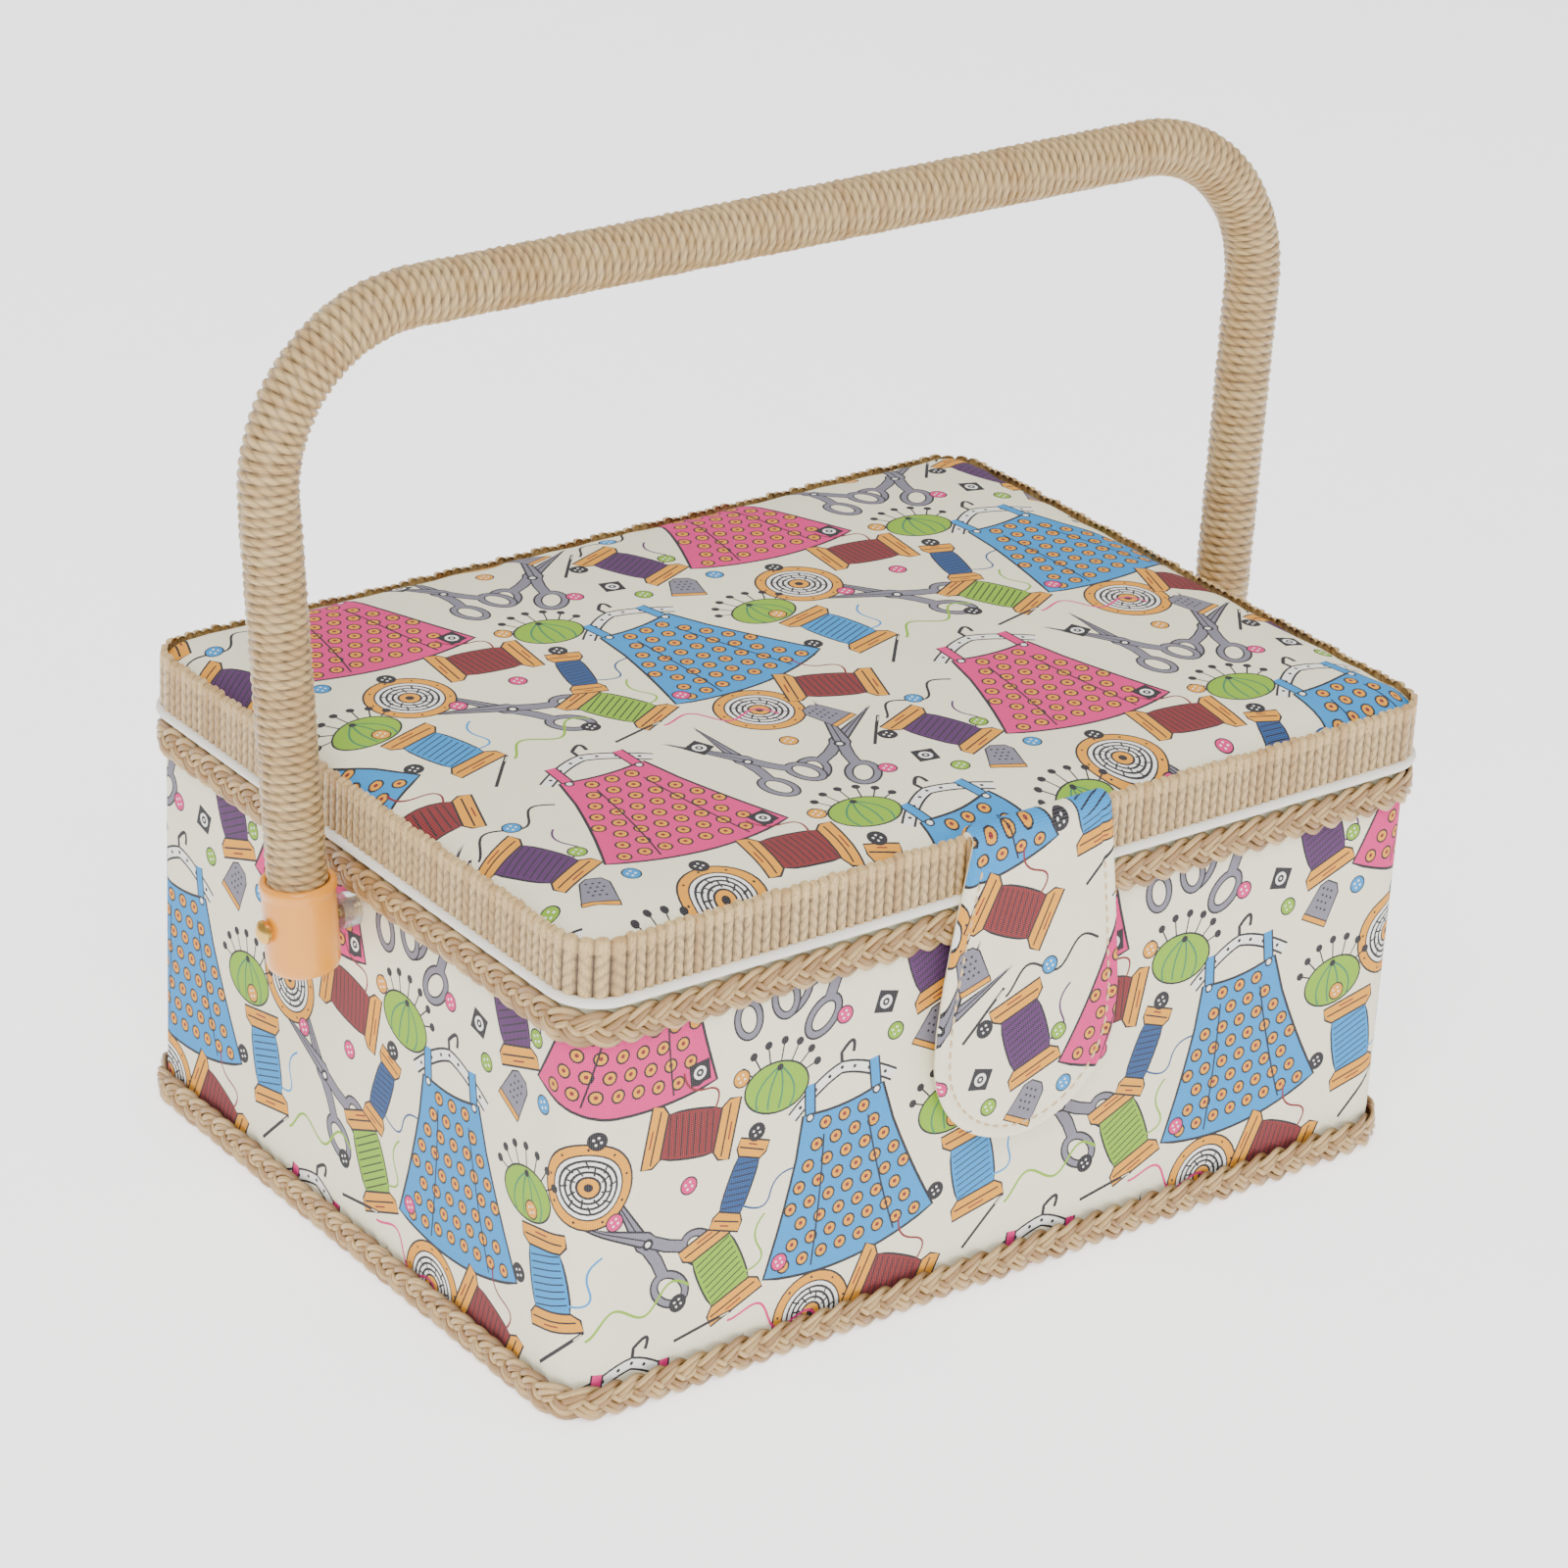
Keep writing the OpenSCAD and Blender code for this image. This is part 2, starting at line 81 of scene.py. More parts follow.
def make_camera():
    back = Vector((
        math.sin(AZIMUTH) * math.cos(ELEVATION),
        -math.cos(AZIMUTH) * math.cos(ELEVATION),
        math.sin(ELEVATION),
    ))
    level = Vector((0, 0, 1)).cross(back).normalized()
    upright = back.cross(level)
    right = level * math.cos(ROLL) + upright * math.sin(ROLL)
    up = upright * math.cos(ROLL) - level * math.sin(ROLL)
    camera = bpy.data.objects.new("camera", bpy.data.cameras.new("camera"))
    camera.data.lens = LENS
    camera.data.sensor_width = 36
    camera.data.clip_start = 0.05
    place = AIM + back * DISTANCE
    camera.matrix_world = Matrix([
        [right[i], up[i], back[i], place[i]] for i in range(3)
    ] + [[0, 0, 0, 1]])
    bpy.context.scene.collection.objects.link(camera)
    bpy.context.scene.camera = camera


def area_light(name, place, size, power, aim=(0, 0, 0.1)):
    data = bpy.data.lights.new(name, "AREA")
    data.shape = "RECTANGLE"
    data.size, data.size_y = size
    data.energy = power
    light = bpy.data.objects.new(name, data)
    light.location = place
    light.rotation_euler = (Vector(place) - Vector(aim)).to_track_quat("Z", "Y").to_euler()
    bpy.context.scene.collection.objects.link(light)


def make_stage():
    area_light("key", (-0.9, -1.1, 1.7), (1.1, 1.1), 38)
    area_light("fill", (1.5, -1.0, 0.9), (1.4, 1.2), 7)
    area_light("top", (0.1, 0.3, 1.9), (1.6, 1.6), 11)
    area_light("rear", (-0.4, 1.6, 1.2), (1.2, 1.0), 6)
    world = bpy.data.worlds.new("studio")
    world.use_nodes = True
    world.node_tree.nodes["Background"].inputs[0].default_value = (1, 1, 1, 1)
    world.node_tree.nodes["Background"].inputs[1].default_value = 0.55
    bpy.context.scene.world = world
    side = 4.0
    mesh = bpy.data.meshes.new("floor")
    mesh.from_pydata([(-side, -side, 0), (side, -side, 0), (side, side, 0), (-side, side, 0)],
                     [], [(0, 1, 2, 3)])
    floor = bpy.data.objects.new("floor", mesh)
    bpy.context.scene.collection.objects.link(floor)
    floor.data.materials.append(material("floor", (0.97, 0.97, 0.97), rough=0.8, noise=30,
                                         vary=0.02, bump=0.0, glow=1.4))


# ------------------------------------------------------------------ materials
def linear(colour):
    """A display colour, a hex code or three numbers, as light."""
    rgb = hexed(colour) if isinstance(colour, str) else colour
    return tuple(c / 12.92 if c <= 0.04045 else ((c + 0.055) / 1.055) ** 2.4 for c in rgb)


def hexed(code):
    return tuple(int(code[i:i + 2], 16) / 255 for i in (0, 2, 4))


class Nodes:
    """A short way to add and join shader nodes."""

    def __init__(self, name):
        self.mat = bpy.data.materials.new(name)
        self.mat.use_nodes = True
        self.tree = self.mat.node_tree
        self.shader = self.tree.nodes["Principled BSDF"]

    def join(self, a, b):
        self.tree.links.new(a, b)

    def put(self, value, socket):
        """Gives a socket an output, a colour or a number."""
        if hasattr(value, "links"):
            self.join(value, socket)
        else:
            colour = isinstance(value, (tuple, list))
            socket.default_value = (*value[:3], 1) if colour else value

    def add(self, kind, **values):
        """A node; values name its settings, or its inputs with _ for each space."""
        node = self.tree.nodes.new(kind)
        for key, value in values.items():
            if hasattr(node, key):
                setattr(node, key, value)
            else:
                self.put(value, node.inputs[key.replace("_", " ")])
        return node

    def maths(self, operation, a, b):
        node = self.add("ShaderNodeMath", operation=operation)
        self.put(a, node.inputs[0])
        self.put(b, node.inputs[1])
        return node.outputs[0]

    def mix(self, factor, a, b, blend="MIX"):
        node = self.add("ShaderNodeMix", data_type="RGBA", blend_type=blend, Factor=factor)
        self.put(a, node.inputs[6])
        self.put(b, node.inputs[7])
        return node.outputs[2]


def material(name, colour, rough=0.6, noise=60.0, vary=0.12, bump=0.15, bump_scale=900.0,
             sheen=0.0, metal=0.0, coat=0.0, ink=False, crevice_shade=None, weave=0.0, stretch=None,
             see_through=0.0, flecks=None, glow=0.0):
    """A procedural surface: base colour, slow mottling, fine relief and its gloss.
    ink takes the colour from the print; the crevice-shade argument holds two colours, that of
    the painted shade in the crevices between strands and plies and that of tinted strands,
    and two point attributes say where each falls; stretch draws the noise out along a strand."""
    n = Nodes(name)
    surface = n.shader.inputs
    place = n.add("ShaderNodeTexCoord").outputs["Object"]
    if stretch:
        mapping = n.add("ShaderNodeMapping",
                        Vector=n.add("ShaderNodeUVMap", uv_map="strand").outputs[0])
        mapping.inputs["Scale"].default_value = stretch
        place = mapping.outputs[0]
    mottle = n.add("ShaderNodeTexNoise", Vector=place, Scale=1.0 if stretch else noise,
                   Detail=4.0).outputs[0]
    if ink:
        grey = 1 - vary
        shade = n.mix(mottle, (grey, grey, grey), (1, 1, 1))
        inks = n.add("ShaderNodeVertexColor", layer_name="ink").outputs[0]
        paint = n.mix(1.0, inks, shade, "MULTIPLY")
    else:
        darker = tuple(c * (1 - vary * 1.6) for c in linear(colour))
        lighter = tuple(min(1, c * (1 + vary)) for c in linear(colour))
        paint = n.mix(mottle, darker, lighter)
    if flecks:
        spots = n.add("ShaderNodeTexNoise", Vector=place, Scale=noise * 6, Detail=2.0)
        mask = n.add("ShaderNodeMapRange", Value=spots.outputs[0], From_Min=0.56,
                     From_Max=0.66)
        paint = n.mix(mask.outputs[0], paint, linear(flecks))
    # painted shade: a dark brown is mixed in where the point attribute says the twine curves away or its plies
    # part; the tint is the real colour of some strands
    if crevice_shade:
        depth, tint = (n.add("ShaderNodeAttribute", attribute_name=key).outputs["Fac"]
                       for key in ("crevice_shade", "tint"))
        paint = n.mix(tint, paint, linear(crevice_shade[1]))
        paint = n.mix(depth, linear(crevice_shade[0]), paint)
    gloss = n.add("ShaderNodeMapRange", Value=mottle, To_Min=max(0.03, rough - 0.08),
                  To_Max=min(1.0, rough + 0.08))
    n.join(gloss.outputs[0], surface["Roughness"])
    height = n.add("ShaderNodeTexNoise", Vector=place, Scale=6.0 if stretch else bump_scale,
                   Detail=3.0).outputs[0]
    if weave:
        uv = n.add("ShaderNodeUVMap", uv_map="weave").outputs[0]
        threads = [n.add("ShaderNodeTexWave", bands_direction=axis, Vector=uv, Scale=weave,
                         Distortion=0.6, Detail=1.0).outputs["Fac"] for axis in ("X", "Y")]
        crossed = n.maths("MULTIPLY", *threads)
        height = n.maths("ADD", crossed, n.maths("MULTIPLY", height, 0.5))
        # painted light: the colour is lightened by up to ten per cent where the threads cross and stand highest,
        # so the hollows of the weave read as painted shade
        paint = n.mix(n.maths("MULTIPLY", crossed, 0.10), paint, (1, 1, 1))
    n.join(paint, surface["Base Color"])
    if bump:
        bumps = n.add("ShaderNodeBump", Strength=bump, Distance=0.0004, Height=height)
        n.join(bumps.outputs[0], surface["Normal"])
    if glow:
        n.put((1, 1, 1), surface["Emission Color"])
        n.put(glow, surface["Emission Strength"])
    for key, value in (("Metallic", metal), ("Sheen Weight", sheen), ("Coat Weight", coat),
                       ("Transmission Weight", see_through)):
        n.put(value, surface[key])
    return n.mat


# ------------------------------------------------------------------ meshes
def mesh_piece(name, points, faces, body, slot, surface=None, replaces=(), ride=True,
               attributes=None, uvs=None, ink=None):
    """A smooth mesh from points in millimetres, in its slot's surface unless another is
    given. attributes: name to one number a point; uvs: name to one pair a point; ink: one
    colour a face."""
    mesh = bpy.data.meshes.new(name)
    points = np.asarray(points, float) * MM
    faces = np.asarray(faces, dtype=np.int32)
    count, sides = faces.shape
    mesh.vertices.add(len(points))
    mesh.vertices.foreach_set("co", points.astype(np.float32).ravel())
    mesh.loops.add(count * sides)
    mesh.loops.foreach_set("vertex_index", faces.ravel())
    mesh.polygons.add(count)
    mesh.polygons.foreach_set("loop_start", np.arange(count, dtype=np.int32) * sides)
    mesh.update(calc_edges=True)
    mesh.validate()
    corner_point = np.empty(len(mesh.loops), dtype=np.int32)
    mesh.loops.foreach_get("vertex_index", corner_point)
    for key, values in (attributes or {}).items():
        layer = mesh.attributes.new(key, "FLOAT", "POINT")
        layer.data.foreach_set("value", np.asarray(values, np.float32))
    for key, pairs in (uvs or {}).items():
        layer = mesh.uv_layers.new(name=key)
        layer.data.foreach_set("uv", np.asarray(pairs, np.float32)[corner_point].ravel())
    if ink is not None:
        layer = mesh.color_attributes.new("ink", "BYTE_COLOR", "CORNER")
        sizes = np.empty(len(mesh.polygons), dtype=np.int32)
        mesh.polygons.foreach_get("loop_total", sizes)
        colours = np.repeat(np.asarray(ink, np.float32), sizes, axis=0)
        layer.data.foreach_set("color", colours.ravel())
    mesh.polygons.foreach_set("use_smooth", np.full(len(mesh.polygons), True))
    mesh.materials.append(surface or SLOT_SURFACES[slot])
    piece = bpy.data.objects.new(name, mesh)
    bpy.context.scene.collection.objects.link(piece)
    if ride:
        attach(piece, body)
    if replaces:
        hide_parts(*replaces)
    return piece


def grid_faces(rows, columns, wrap_rows=False, wrap_columns=False):
    """Quads between rows of points; wrap joins the last row or column to the first."""
    i = np.arange(rows if wrap_rows else rows - 1)[:, None]
    j = np.arange(columns if wrap_columns else columns - 1)[None, :]
    i2, j2 = (i + 1) % rows, (j + 1) % columns
    quads = [i * columns + j, i * columns + j2, i2 * columns + j2, i2 * columns + j]
    return np.stack([np.broadcast_to(q, (i.shape[0], j.shape[1])) for q in quads],
                    axis=-1).reshape(-1, 4)


class Loop:
    """A rounded rectangle by arc length, from the middle of the front, to the right."""

    def __init__(self, half_x, half_y, radius):
        a, b = half_x - radius, half_y - radius
        spots, normals = [], []
        steps = 24
        for cx, cy, start in ((a, -b, -90), (a, b, 0), (-a, b, 90), (-a, -b, 180)):
            angle = np.radians(start + np.linspace(0, 90, steps + 1))
            out = np.stack([np.cos(angle), np.sin(angle)], 1)
            spots.append(np.array([cx, cy]) + radius * out)
            normals.append(out)
        spots = np.concatenate([[[0, -half_y]]] + spots + [[[0, -half_y]]])
        normals = np.concatenate([[[0, -1]]] + normals + [[[0, -1]]])
        self.s = np.concatenate([[0], np.cumsum(np.linalg.norm(np.diff(spots, axis=0), axis=1))])
        self.spots, self.normals = spots, normals
        self.length = self.s[-1]

    def at(self, s):
        s = np.mod(s, self.length)
        spot = np.stack([np.interp(s, self.s, self.spots[:, k]) for k in (0, 1)], -1)
        out = np.stack([np.interp(s, self.s, self.normals[:, k]) for k in (0, 1)], -1)
        return spot, out / np.linalg.norm(out, axis=-1, keepdims=True)


# ------------------------------------------------------------------ the print
CREAM = hexed("FFF8DA")
PINK, BLUE, OCHRE = hexed("E4187A"), hexed("0090D8"), hexed("EE9E08")
MAROON, PURPLE, LIME = hexed("7E1216"), hexed("4E1258"), hexed("86B60C")
NAVY, GREY, DARK = hexed("0A4480"), hexed("7E7A88"), hexed("120C16")
WHITE, GREEN = hexed("FBFAF2"), hexed("2E7D4F")
TILE_X, TILE_Y = 143.0, 140.0


def circle(count):
    """Angles spaced evenly round a turn."""
    return np.linspace(0, 2 * np.pi, count, endpoint=False)


def disc(x, y, r, sides=18, tall=None):
    """A circle, or an ellipse that is tall upward."""
    angle = circle(sides)
    return np.stack([x + r * np.cos(angle), y + (tall or r) * np.sin(angle)], 1)


def rect(x0, y0, x1, y1):
    return np.array([(x0, y0), (x1, y0), (x1, y1), (x0, y1)], float)


def stroke(points, width):
    """A line of that width through the points, as one outline."""
    p = np.asarray(points, float)
    along = np.gradient(p, axis=0)
    along /= np.linalg.norm(along, axis=1, keepdims=True) + 1e-9
    side = np.stack([-along[:, 1], along[:, 0]], 1) * width / 2
    return np.concatenate([p + side, (p - side)[::-1]])


def bow(a, b, c, n=8):
    """A curve from a to c that leans towards b."""
    t = np.linspace(0, 1, n)[:, None]
    a, b, c = (np.asarray(p, float) for p in (a, b, c))
    return (1 - t) ** 2 * a + 2 * t * (1 - t) * b + t * t * c


def grow(outline, by):
    """The outline pushed outward all round."""
    p = np.asarray(outline, float)
    along = np.roll(p, -1, 0) - np.roll(p, 1, 0)
    along /= np.linalg.norm(along, axis=1, keepdims=True) + 1e-9
    area = np.sum(p[:, 0] * np.roll(p[:, 1], -1) - np.roll(p[:, 0], -1) * p[:, 1])
    return p + np.stack([along[:, 1], -along[:, 0]], 1) * by * np.sign(area)


def dress(cloth):
    """A strapped pinafore on a hanger, dotted all over."""
    body = np.concatenate([[(-11.5, 15)], bow((-14, 4), (-19, -12), (-25, -25), 6),
                           bow((-25, -25), (0, -34), (25, -25), 14)[1:],
                           bow((25, -25), (19, -12), (14, 4), 6)[1:], [(11.5, 15)],
                           bow((11.5, 15), (0, 12), (-11.5, 15), 8)[1:-1]])
    hanger = np.concatenate([bow((-15, 16), (-6, 23), (0, 24)),
                             bow((0, 24), (6, 23), (15, 16))[1:]])
    hook = np.concatenate([[(0, 24), (0, 28)], bow((0, 28), (5, 33), (3.5, 27), 8)])
    shapes = [(DARK, stroke(hook, 1.0)), (DARK, stroke(hanger, 3.6)),
              (WHITE, stroke(hanger, 2.4))]
    shapes += [(DARK, disc(x, y, 0.55, 6)) for x, y in hanger[1::2]]
    for side in (-1, 1):
        strap = np.array([(side * 9.8, 13), (side * 9.4, 23)])
        shapes += [(DARK, stroke(strap, 3.4)), (cloth, stroke(strap, 2.4))]
    shapes += [(DARK, grow(body, 0.75)), (cloth, body)]
    for row, y in enumerate(range(-24, 14, 5)):
        for x in np.arange(-25, 26, 5.6) + (2.8 if row % 2 else 0):
            if abs(x) < 9.6 + (15 - y) * 0.32 and not (y > 11 and abs(x) < 6):
                shapes += [(DARK, disc(x, y, 1.95, 10)), (OCHRE, disc(x, y, 1.45, 10)),
                           (MAROON, disc(x, y + 0.1, 0.6, 6))]
    shapes += [(DARK, disc(side * 9.8, 14, 1.3, 10)) for side in (-1, 1)]
    shapes += [(WHITE, disc(side * 9.8, 14, 0.8, 8)) for side in (-1, 1)]
    return shapes + [(DARK, stroke(bow((x, 8), (x * 1.3, -10), (x * 1.9, -27)), 0.5))
                     for x in (-6, 7)]


def bobbin(colour, edge):
    """A round of thread seen from its end: a bright flange and rings of winding."""
    shapes = [(DARK, disc(0, 0, 13.4, 36)), (edge, disc(0, 0, 12.8, 36)),
              (DARK, disc(0, 0, 10.2, 32)), (WHITE, disc(0, 0, 9.7, 32))]
    for r in (8.6, 6.9, 5.2):
        shapes += [(colour, disc(0, 0, r, 28)), (WHITE, disc(0, 0, r - 0.75, 28))]
    for k in range(16):
        a = 2 * math.pi * k / 16
        inner, outer = (3.8, 6.2) if k % 2 else (5.8, 8.4)
        ray = np.array([(inner * math.cos(a), inner * math.sin(a)),
                        (outer * math.cos(a + 0.12), outer * math.sin(a + 0.12))])
        shapes.append((colour, stroke(ray, 0.55)))
    shapes += [(DARK, disc(0, 0, 3.6, 18)), (edge, disc(0, 0, 2.9, 16)),
               (DARK, disc(0, 0, 1.3, 12))]
    for k in range(9):
        a = 2 * math.pi * k / 9 + 0.2
        shapes.append((DARK, disc(11.5 * math.cos(a), 11.5 * math.sin(a), 0.45, 6)))
    return shapes


def spool(thread, flange, w=1.0):
    """A reel of thread from the side: turned ends and slanting turns. w is its width
    as a share of the usual."""
    shapes = []
    for side in (-1, 1):
        end = np.array([(-8.6 * w, 13.4), (8.6 * w, 13.4), (8.2 * w, 10.4), (5.6 * w, 8),
                        (-5.6 * w, 8), (-8.2 * w, 10.4)]) * (1, side)
        shapes += [(DARK, grow(end, 0.6)), (flange, end),
                   (DARK, stroke([(-7.6 * w, side * 11), (7.2 * w, side * 10.8)], 0.5)),
                   (MAROON, stroke([(-3 * w, side * 12.3), (2 * w, side * 12.2)], 0.45))]
    winding = np.concatenate([bow((-6 * w, -8), (-7.2 * w, 0), (-6 * w, 8), 7),
                              bow((6 * w, 8), (7.2 * w, 0), (6 * w, -8), 7)])
    shapes += [(DARK, grow(winding, 0.6)), (thread, winding)]
    shapes += [(DARK, stroke([(-5.8 * w, y - 0.9), (5.8 * w, y + 0.9)], 0.38))
               for y in np.arange(-6.6, 7, 1.9)]
    tail = np.concatenate([bow((6 * w, -6), (13, -8), (12, -2)),
                           bow((12, -2), (11, 4), (17, 6))[1:]])
    return shapes + [(thread, stroke(tail, 0.6))]


def scissors():
    """Dressmaking scissors, a little open."""
    shapes = []
    for side in (-1, 1):
        blade = np.array([(side * 2.6, -4), (side * -1.4, 3), (side * -7.2, 27),
                          (side * -2.4, 14), (side * 2.6, 3)])
        loop = disc(side * 6.6, -15, 4.6, 24, tall=6.6)
        hole = disc(side * 6.6, -15, 2.5, 24, tall=4.3)
        arm = stroke([(side * 0.6, 2), (side * 2.4, -5), (side * 4.6, -10)], 3.0)
        shapes += [(DARK, grow(arm, 0.5)), (DARK, grow(blade, 0.6)), (GREY, blade),
                   (DARK, stroke([(side * 0.6, 2), (side * -5.6, 22)], 0.4)),
                   (DARK, grow(loop, 0.6)), (GREY, loop), (GREY, arm),
                   (DARK, grow(hole, 0.5)), (CREAM, hole)]
    return shapes + [(DARK, disc(0, 1, 1.7, 12)), (WHITE, disc(0, 1, 0.9, 10))]


def pincushion():
    """A round cushion stuck with pins."""
    shapes = []
    for k in range(7):
        a = math.radians(20 + 140 * k / 6)
        tip = (13.5 * math.cos(a), 2 + 12 * math.sin(a))
        shapes += [(DARK, stroke([(5 * math.cos(a), 2), tip], 0.5)), (DARK, disc(*tip, 1.3, 10))]
    body = disc(0, 0, 10.5, 30, tall=7.5)
    shapes += [(DARK, grow(body, 0.6)), (LIME, body)]
    shapes += [(GREEN, stroke(bow((0, 6.5), (x, 0), (x * 0.6, -6.6)), 0.6))
               for x in (-9, -3, 3, 9)]
    return shapes + [(DARK, disc(0, 6, 1.1, 10))]


def thimble():
    """A thimble with rows of dimples and a rim."""
    body = np.array([(-5, -6), (-3.8, 4), (-2, 6), (2, 6), (3.8, 4), (5, -6)], float)
    shapes = [(DARK, grow(body, 0.5)), (GREY, body), (DARK, rect(-5.4, -7.4, 5.4, -5.2)),
              (OCHRE, rect(-5, -7, 5, -5.6))]
    return shapes + [(DARK, disc(x + (0.9 if row % 2 else 0), 3.6 - 2 * row, 0.45, 6))
                     for row in range(4) for x in (-2.4, -0.6, 1.2)]


def button(colour):
    """A round button with four holes."""
    shapes = [(DARK, disc(0, 0, 2.9, 16)), (colour, disc(0, 0, 2.45, 16))]
    return shapes + [(WHITE, disc(x, y, 0.42, 6)) for x in (-0.8, 0.8) for y in (-0.8, 0.8)]


def needle(colour):
    """A needle, its eye, and a wave of thread behind it."""
    wave = np.array([(x, 3.2 * math.sin(x * 0.32)) for x in np.linspace(-4, 30, 30)])
    return [(colour, stroke(wave, 0.8)),
            (DARK, stroke([(-4, 0), (-10, -4), (-20, -11)], 1.0)),
            (CREAM, stroke([(-4.6, -0.6), (-7, -2.2)], 0.35))]


def patch():
    """A small press stud on its card."""
    card = np.array([(-3.4, -3.4), (3.2, -3.2), (3.5, 3.3), (-3.2, 3.5)], float)
    return [(DARK, card), (WHITE, disc(0, 0, 2.1, 14)), (DARK, disc(0, 0, 1.2, 12)),
            (WHITE, disc(0, 0, 0.5, 8))]


def larger(motif, by):
    """The motif enlarged."""
    return [(colour, np.asarray(shape, float) * by) for colour, shape in motif]


def layout():
    """What lies on one repeat of the cloth: motif, x, y, turn in degrees."""
    items = [
        (larger(dress(PINK), 1.16), 35, 100, -5), (larger(dress(BLUE), 1.16), 107, 32, 6),
        (larger(scissors(), 1.05), 102, 94, -42), (larger(scissors(), 1.05), 42, 23, 48),
        (larger(scissors(), 0.95), 74, 99, 14),
        (bobbin(DARK, OCHRE), 22, 46, 0), (bobbin(DARK, OCHRE), 98, 124, 0),
    ]
    reels = [(MAROON, 54, 54, 80), (PURPLE, 133, 86, 20), (BLUE, 10, 14, 12), (LIME, 66, 8, 24),
             (MAROON, 126, 126, 66)]
    items += [(larger(spool(thread, OCHRE), 1.08), x, y, turn) for thread, x, y, turn in reels]
    items += [
        (spool(NAVY, OCHRE, 0.6), 71, 33, -20),
        (pincushion(), 143, 36, 6), (pincushion(), 82, 60, -8),
        (thimble(), 112, 112, 18), (thimble(), 136, 64, -28),
        (needle(DARK), 128, 104, 12), (needle(PINK), 74, 132, -24),
        (needle(LIME), 26, 2, 10),
        (patch(), 56, 72, 10), (patch(), 118, 76, -14), (patch(), 68, 114, 24),
    ]
    spots = [(54, 38, PINK), (6, 66, BLUE), (92, 104, OCHRE), (30, 34, PINK),
             (122, 66, LIME), (104, 76, PINK), (24, 60, DARK), (76, 48, DARK), (86, 4, PINK),
             (140, 106, BLUE), (52, 2, DARK), (2, 84, LIME), (2, 32, OCHRE), (140, 10, DARK),
             (118, 92, DARK), (70, 66, OCHRE)]
    return items + [(button(colour), x, y, 25) for x, y, colour in spots]


def printed(outline, cuts_u=(), cuts_v=(), shift=(0, 0), turn=0.0, motifs=None, rings=()):
    """Triangles of a flat cloth inside outline, each with its colour. The print is drawn
    motif over motif; cuts and rings are extra lines along which the cloth can bend."""
    motifs = PRINT if motifs is None else motifs
    outline = np.asarray(outline, float)
    low, high = outline.min(0), outline.max(0)
    c, s = math.cos(turn), math.sin(turn)
    spin = np.array([[c, s], [-s, c]])
    points, edges, shapes, total = [], [], [], 0

    def add(line, closed=True):
        nonlocal total
        count = len(line)
        points.append(np.asarray(line, float))
        edges.extend((total + k, total + (k + 1) % count) for k in range(count - 1 + closed))
        total += count

    add(outline)
    for u in cuts_u:
        add([(u, low[1] - 1), (u, high[1] + 1)], closed=False)
    for v in cuts_v:
        add([(low[0] - 1, v), (high[0] + 1, v)], closed=False)
    for inset in rings:
        add(grow(outline, -inset))
    reach = np.array([TILE_X, TILE_Y])
    ends = (np.array([low, high, (low[0], high[1]), (high[0], low[1])]) - shift) @ spin.T
    first = np.floor(ends.min(0) / reach).astype(int) - 1
    last = np.ceil(ends.max(0) / reach).astype(int) + 1
    for motif, x, y, degrees in motifs:
        a = math.radians(degrees)
        own = np.array([[math.cos(a), math.sin(a)], [-math.sin(a), math.cos(a)]])
        for i in range(first[0], last[0]):
            for j in range(first[1], last[1]):
                centre = np.array([x, y]) + reach * (i, j)
                for colour, shape in motif:
                    moved = (shape @ own + centre) @ spin + shift
                    if np.any(moved.max(0) < low) or np.any(moved.min(0) > high):
                        continue
                    add(moved)
                    shapes.append((moved, linear(colour)))
    verts, _, tris, *_ = delaunay_2d_cdt(
        [Vector(p) for p in np.concatenate(points).tolist()], edges, [], 0, 1e-4)
    verts = np.array([(p.x, p.y) for p in verts])
    tris = np.array(tris, dtype=np.int32)
    middles = verts[tris].mean(1)
    tris = tris[within(middles, outline)]
    middles = verts[tris].mean(1)
    order = np.argsort(middles[:, 0])
    sorted_x = middles[order, 0]
    ink = np.ones((len(tris), 4))
    ink[:, :3] = linear(CREAM)
    for shape, colour in shapes:
        span = order[np.searchsorted(sorted_x, shape[:, 0].min()):
                     np.searchsorted(sorted_x, shape[:, 0].max())]
        ink[span[within(middles[span], shape)], :3] = colour
    used, back = np.unique(tris, return_inverse=True)
    return verts[used], back.reshape(-1, 3), ink


def within(spots, outline):
    """Which spots lie inside a closed outline."""
    x, y = spots[:, :1], spots[:, 1:]
    x0, y0 = outline.T
    x1, y1 = np.roll(outline, -1, 0).T
    cross = ((y0 > y) != (y1 > y)) & (x < x0 + (y - y0) * (x1 - x0) / (y1 - y0 + 1e-12))
    return cross.sum(1) % 2 == 1


PRINT = layout()


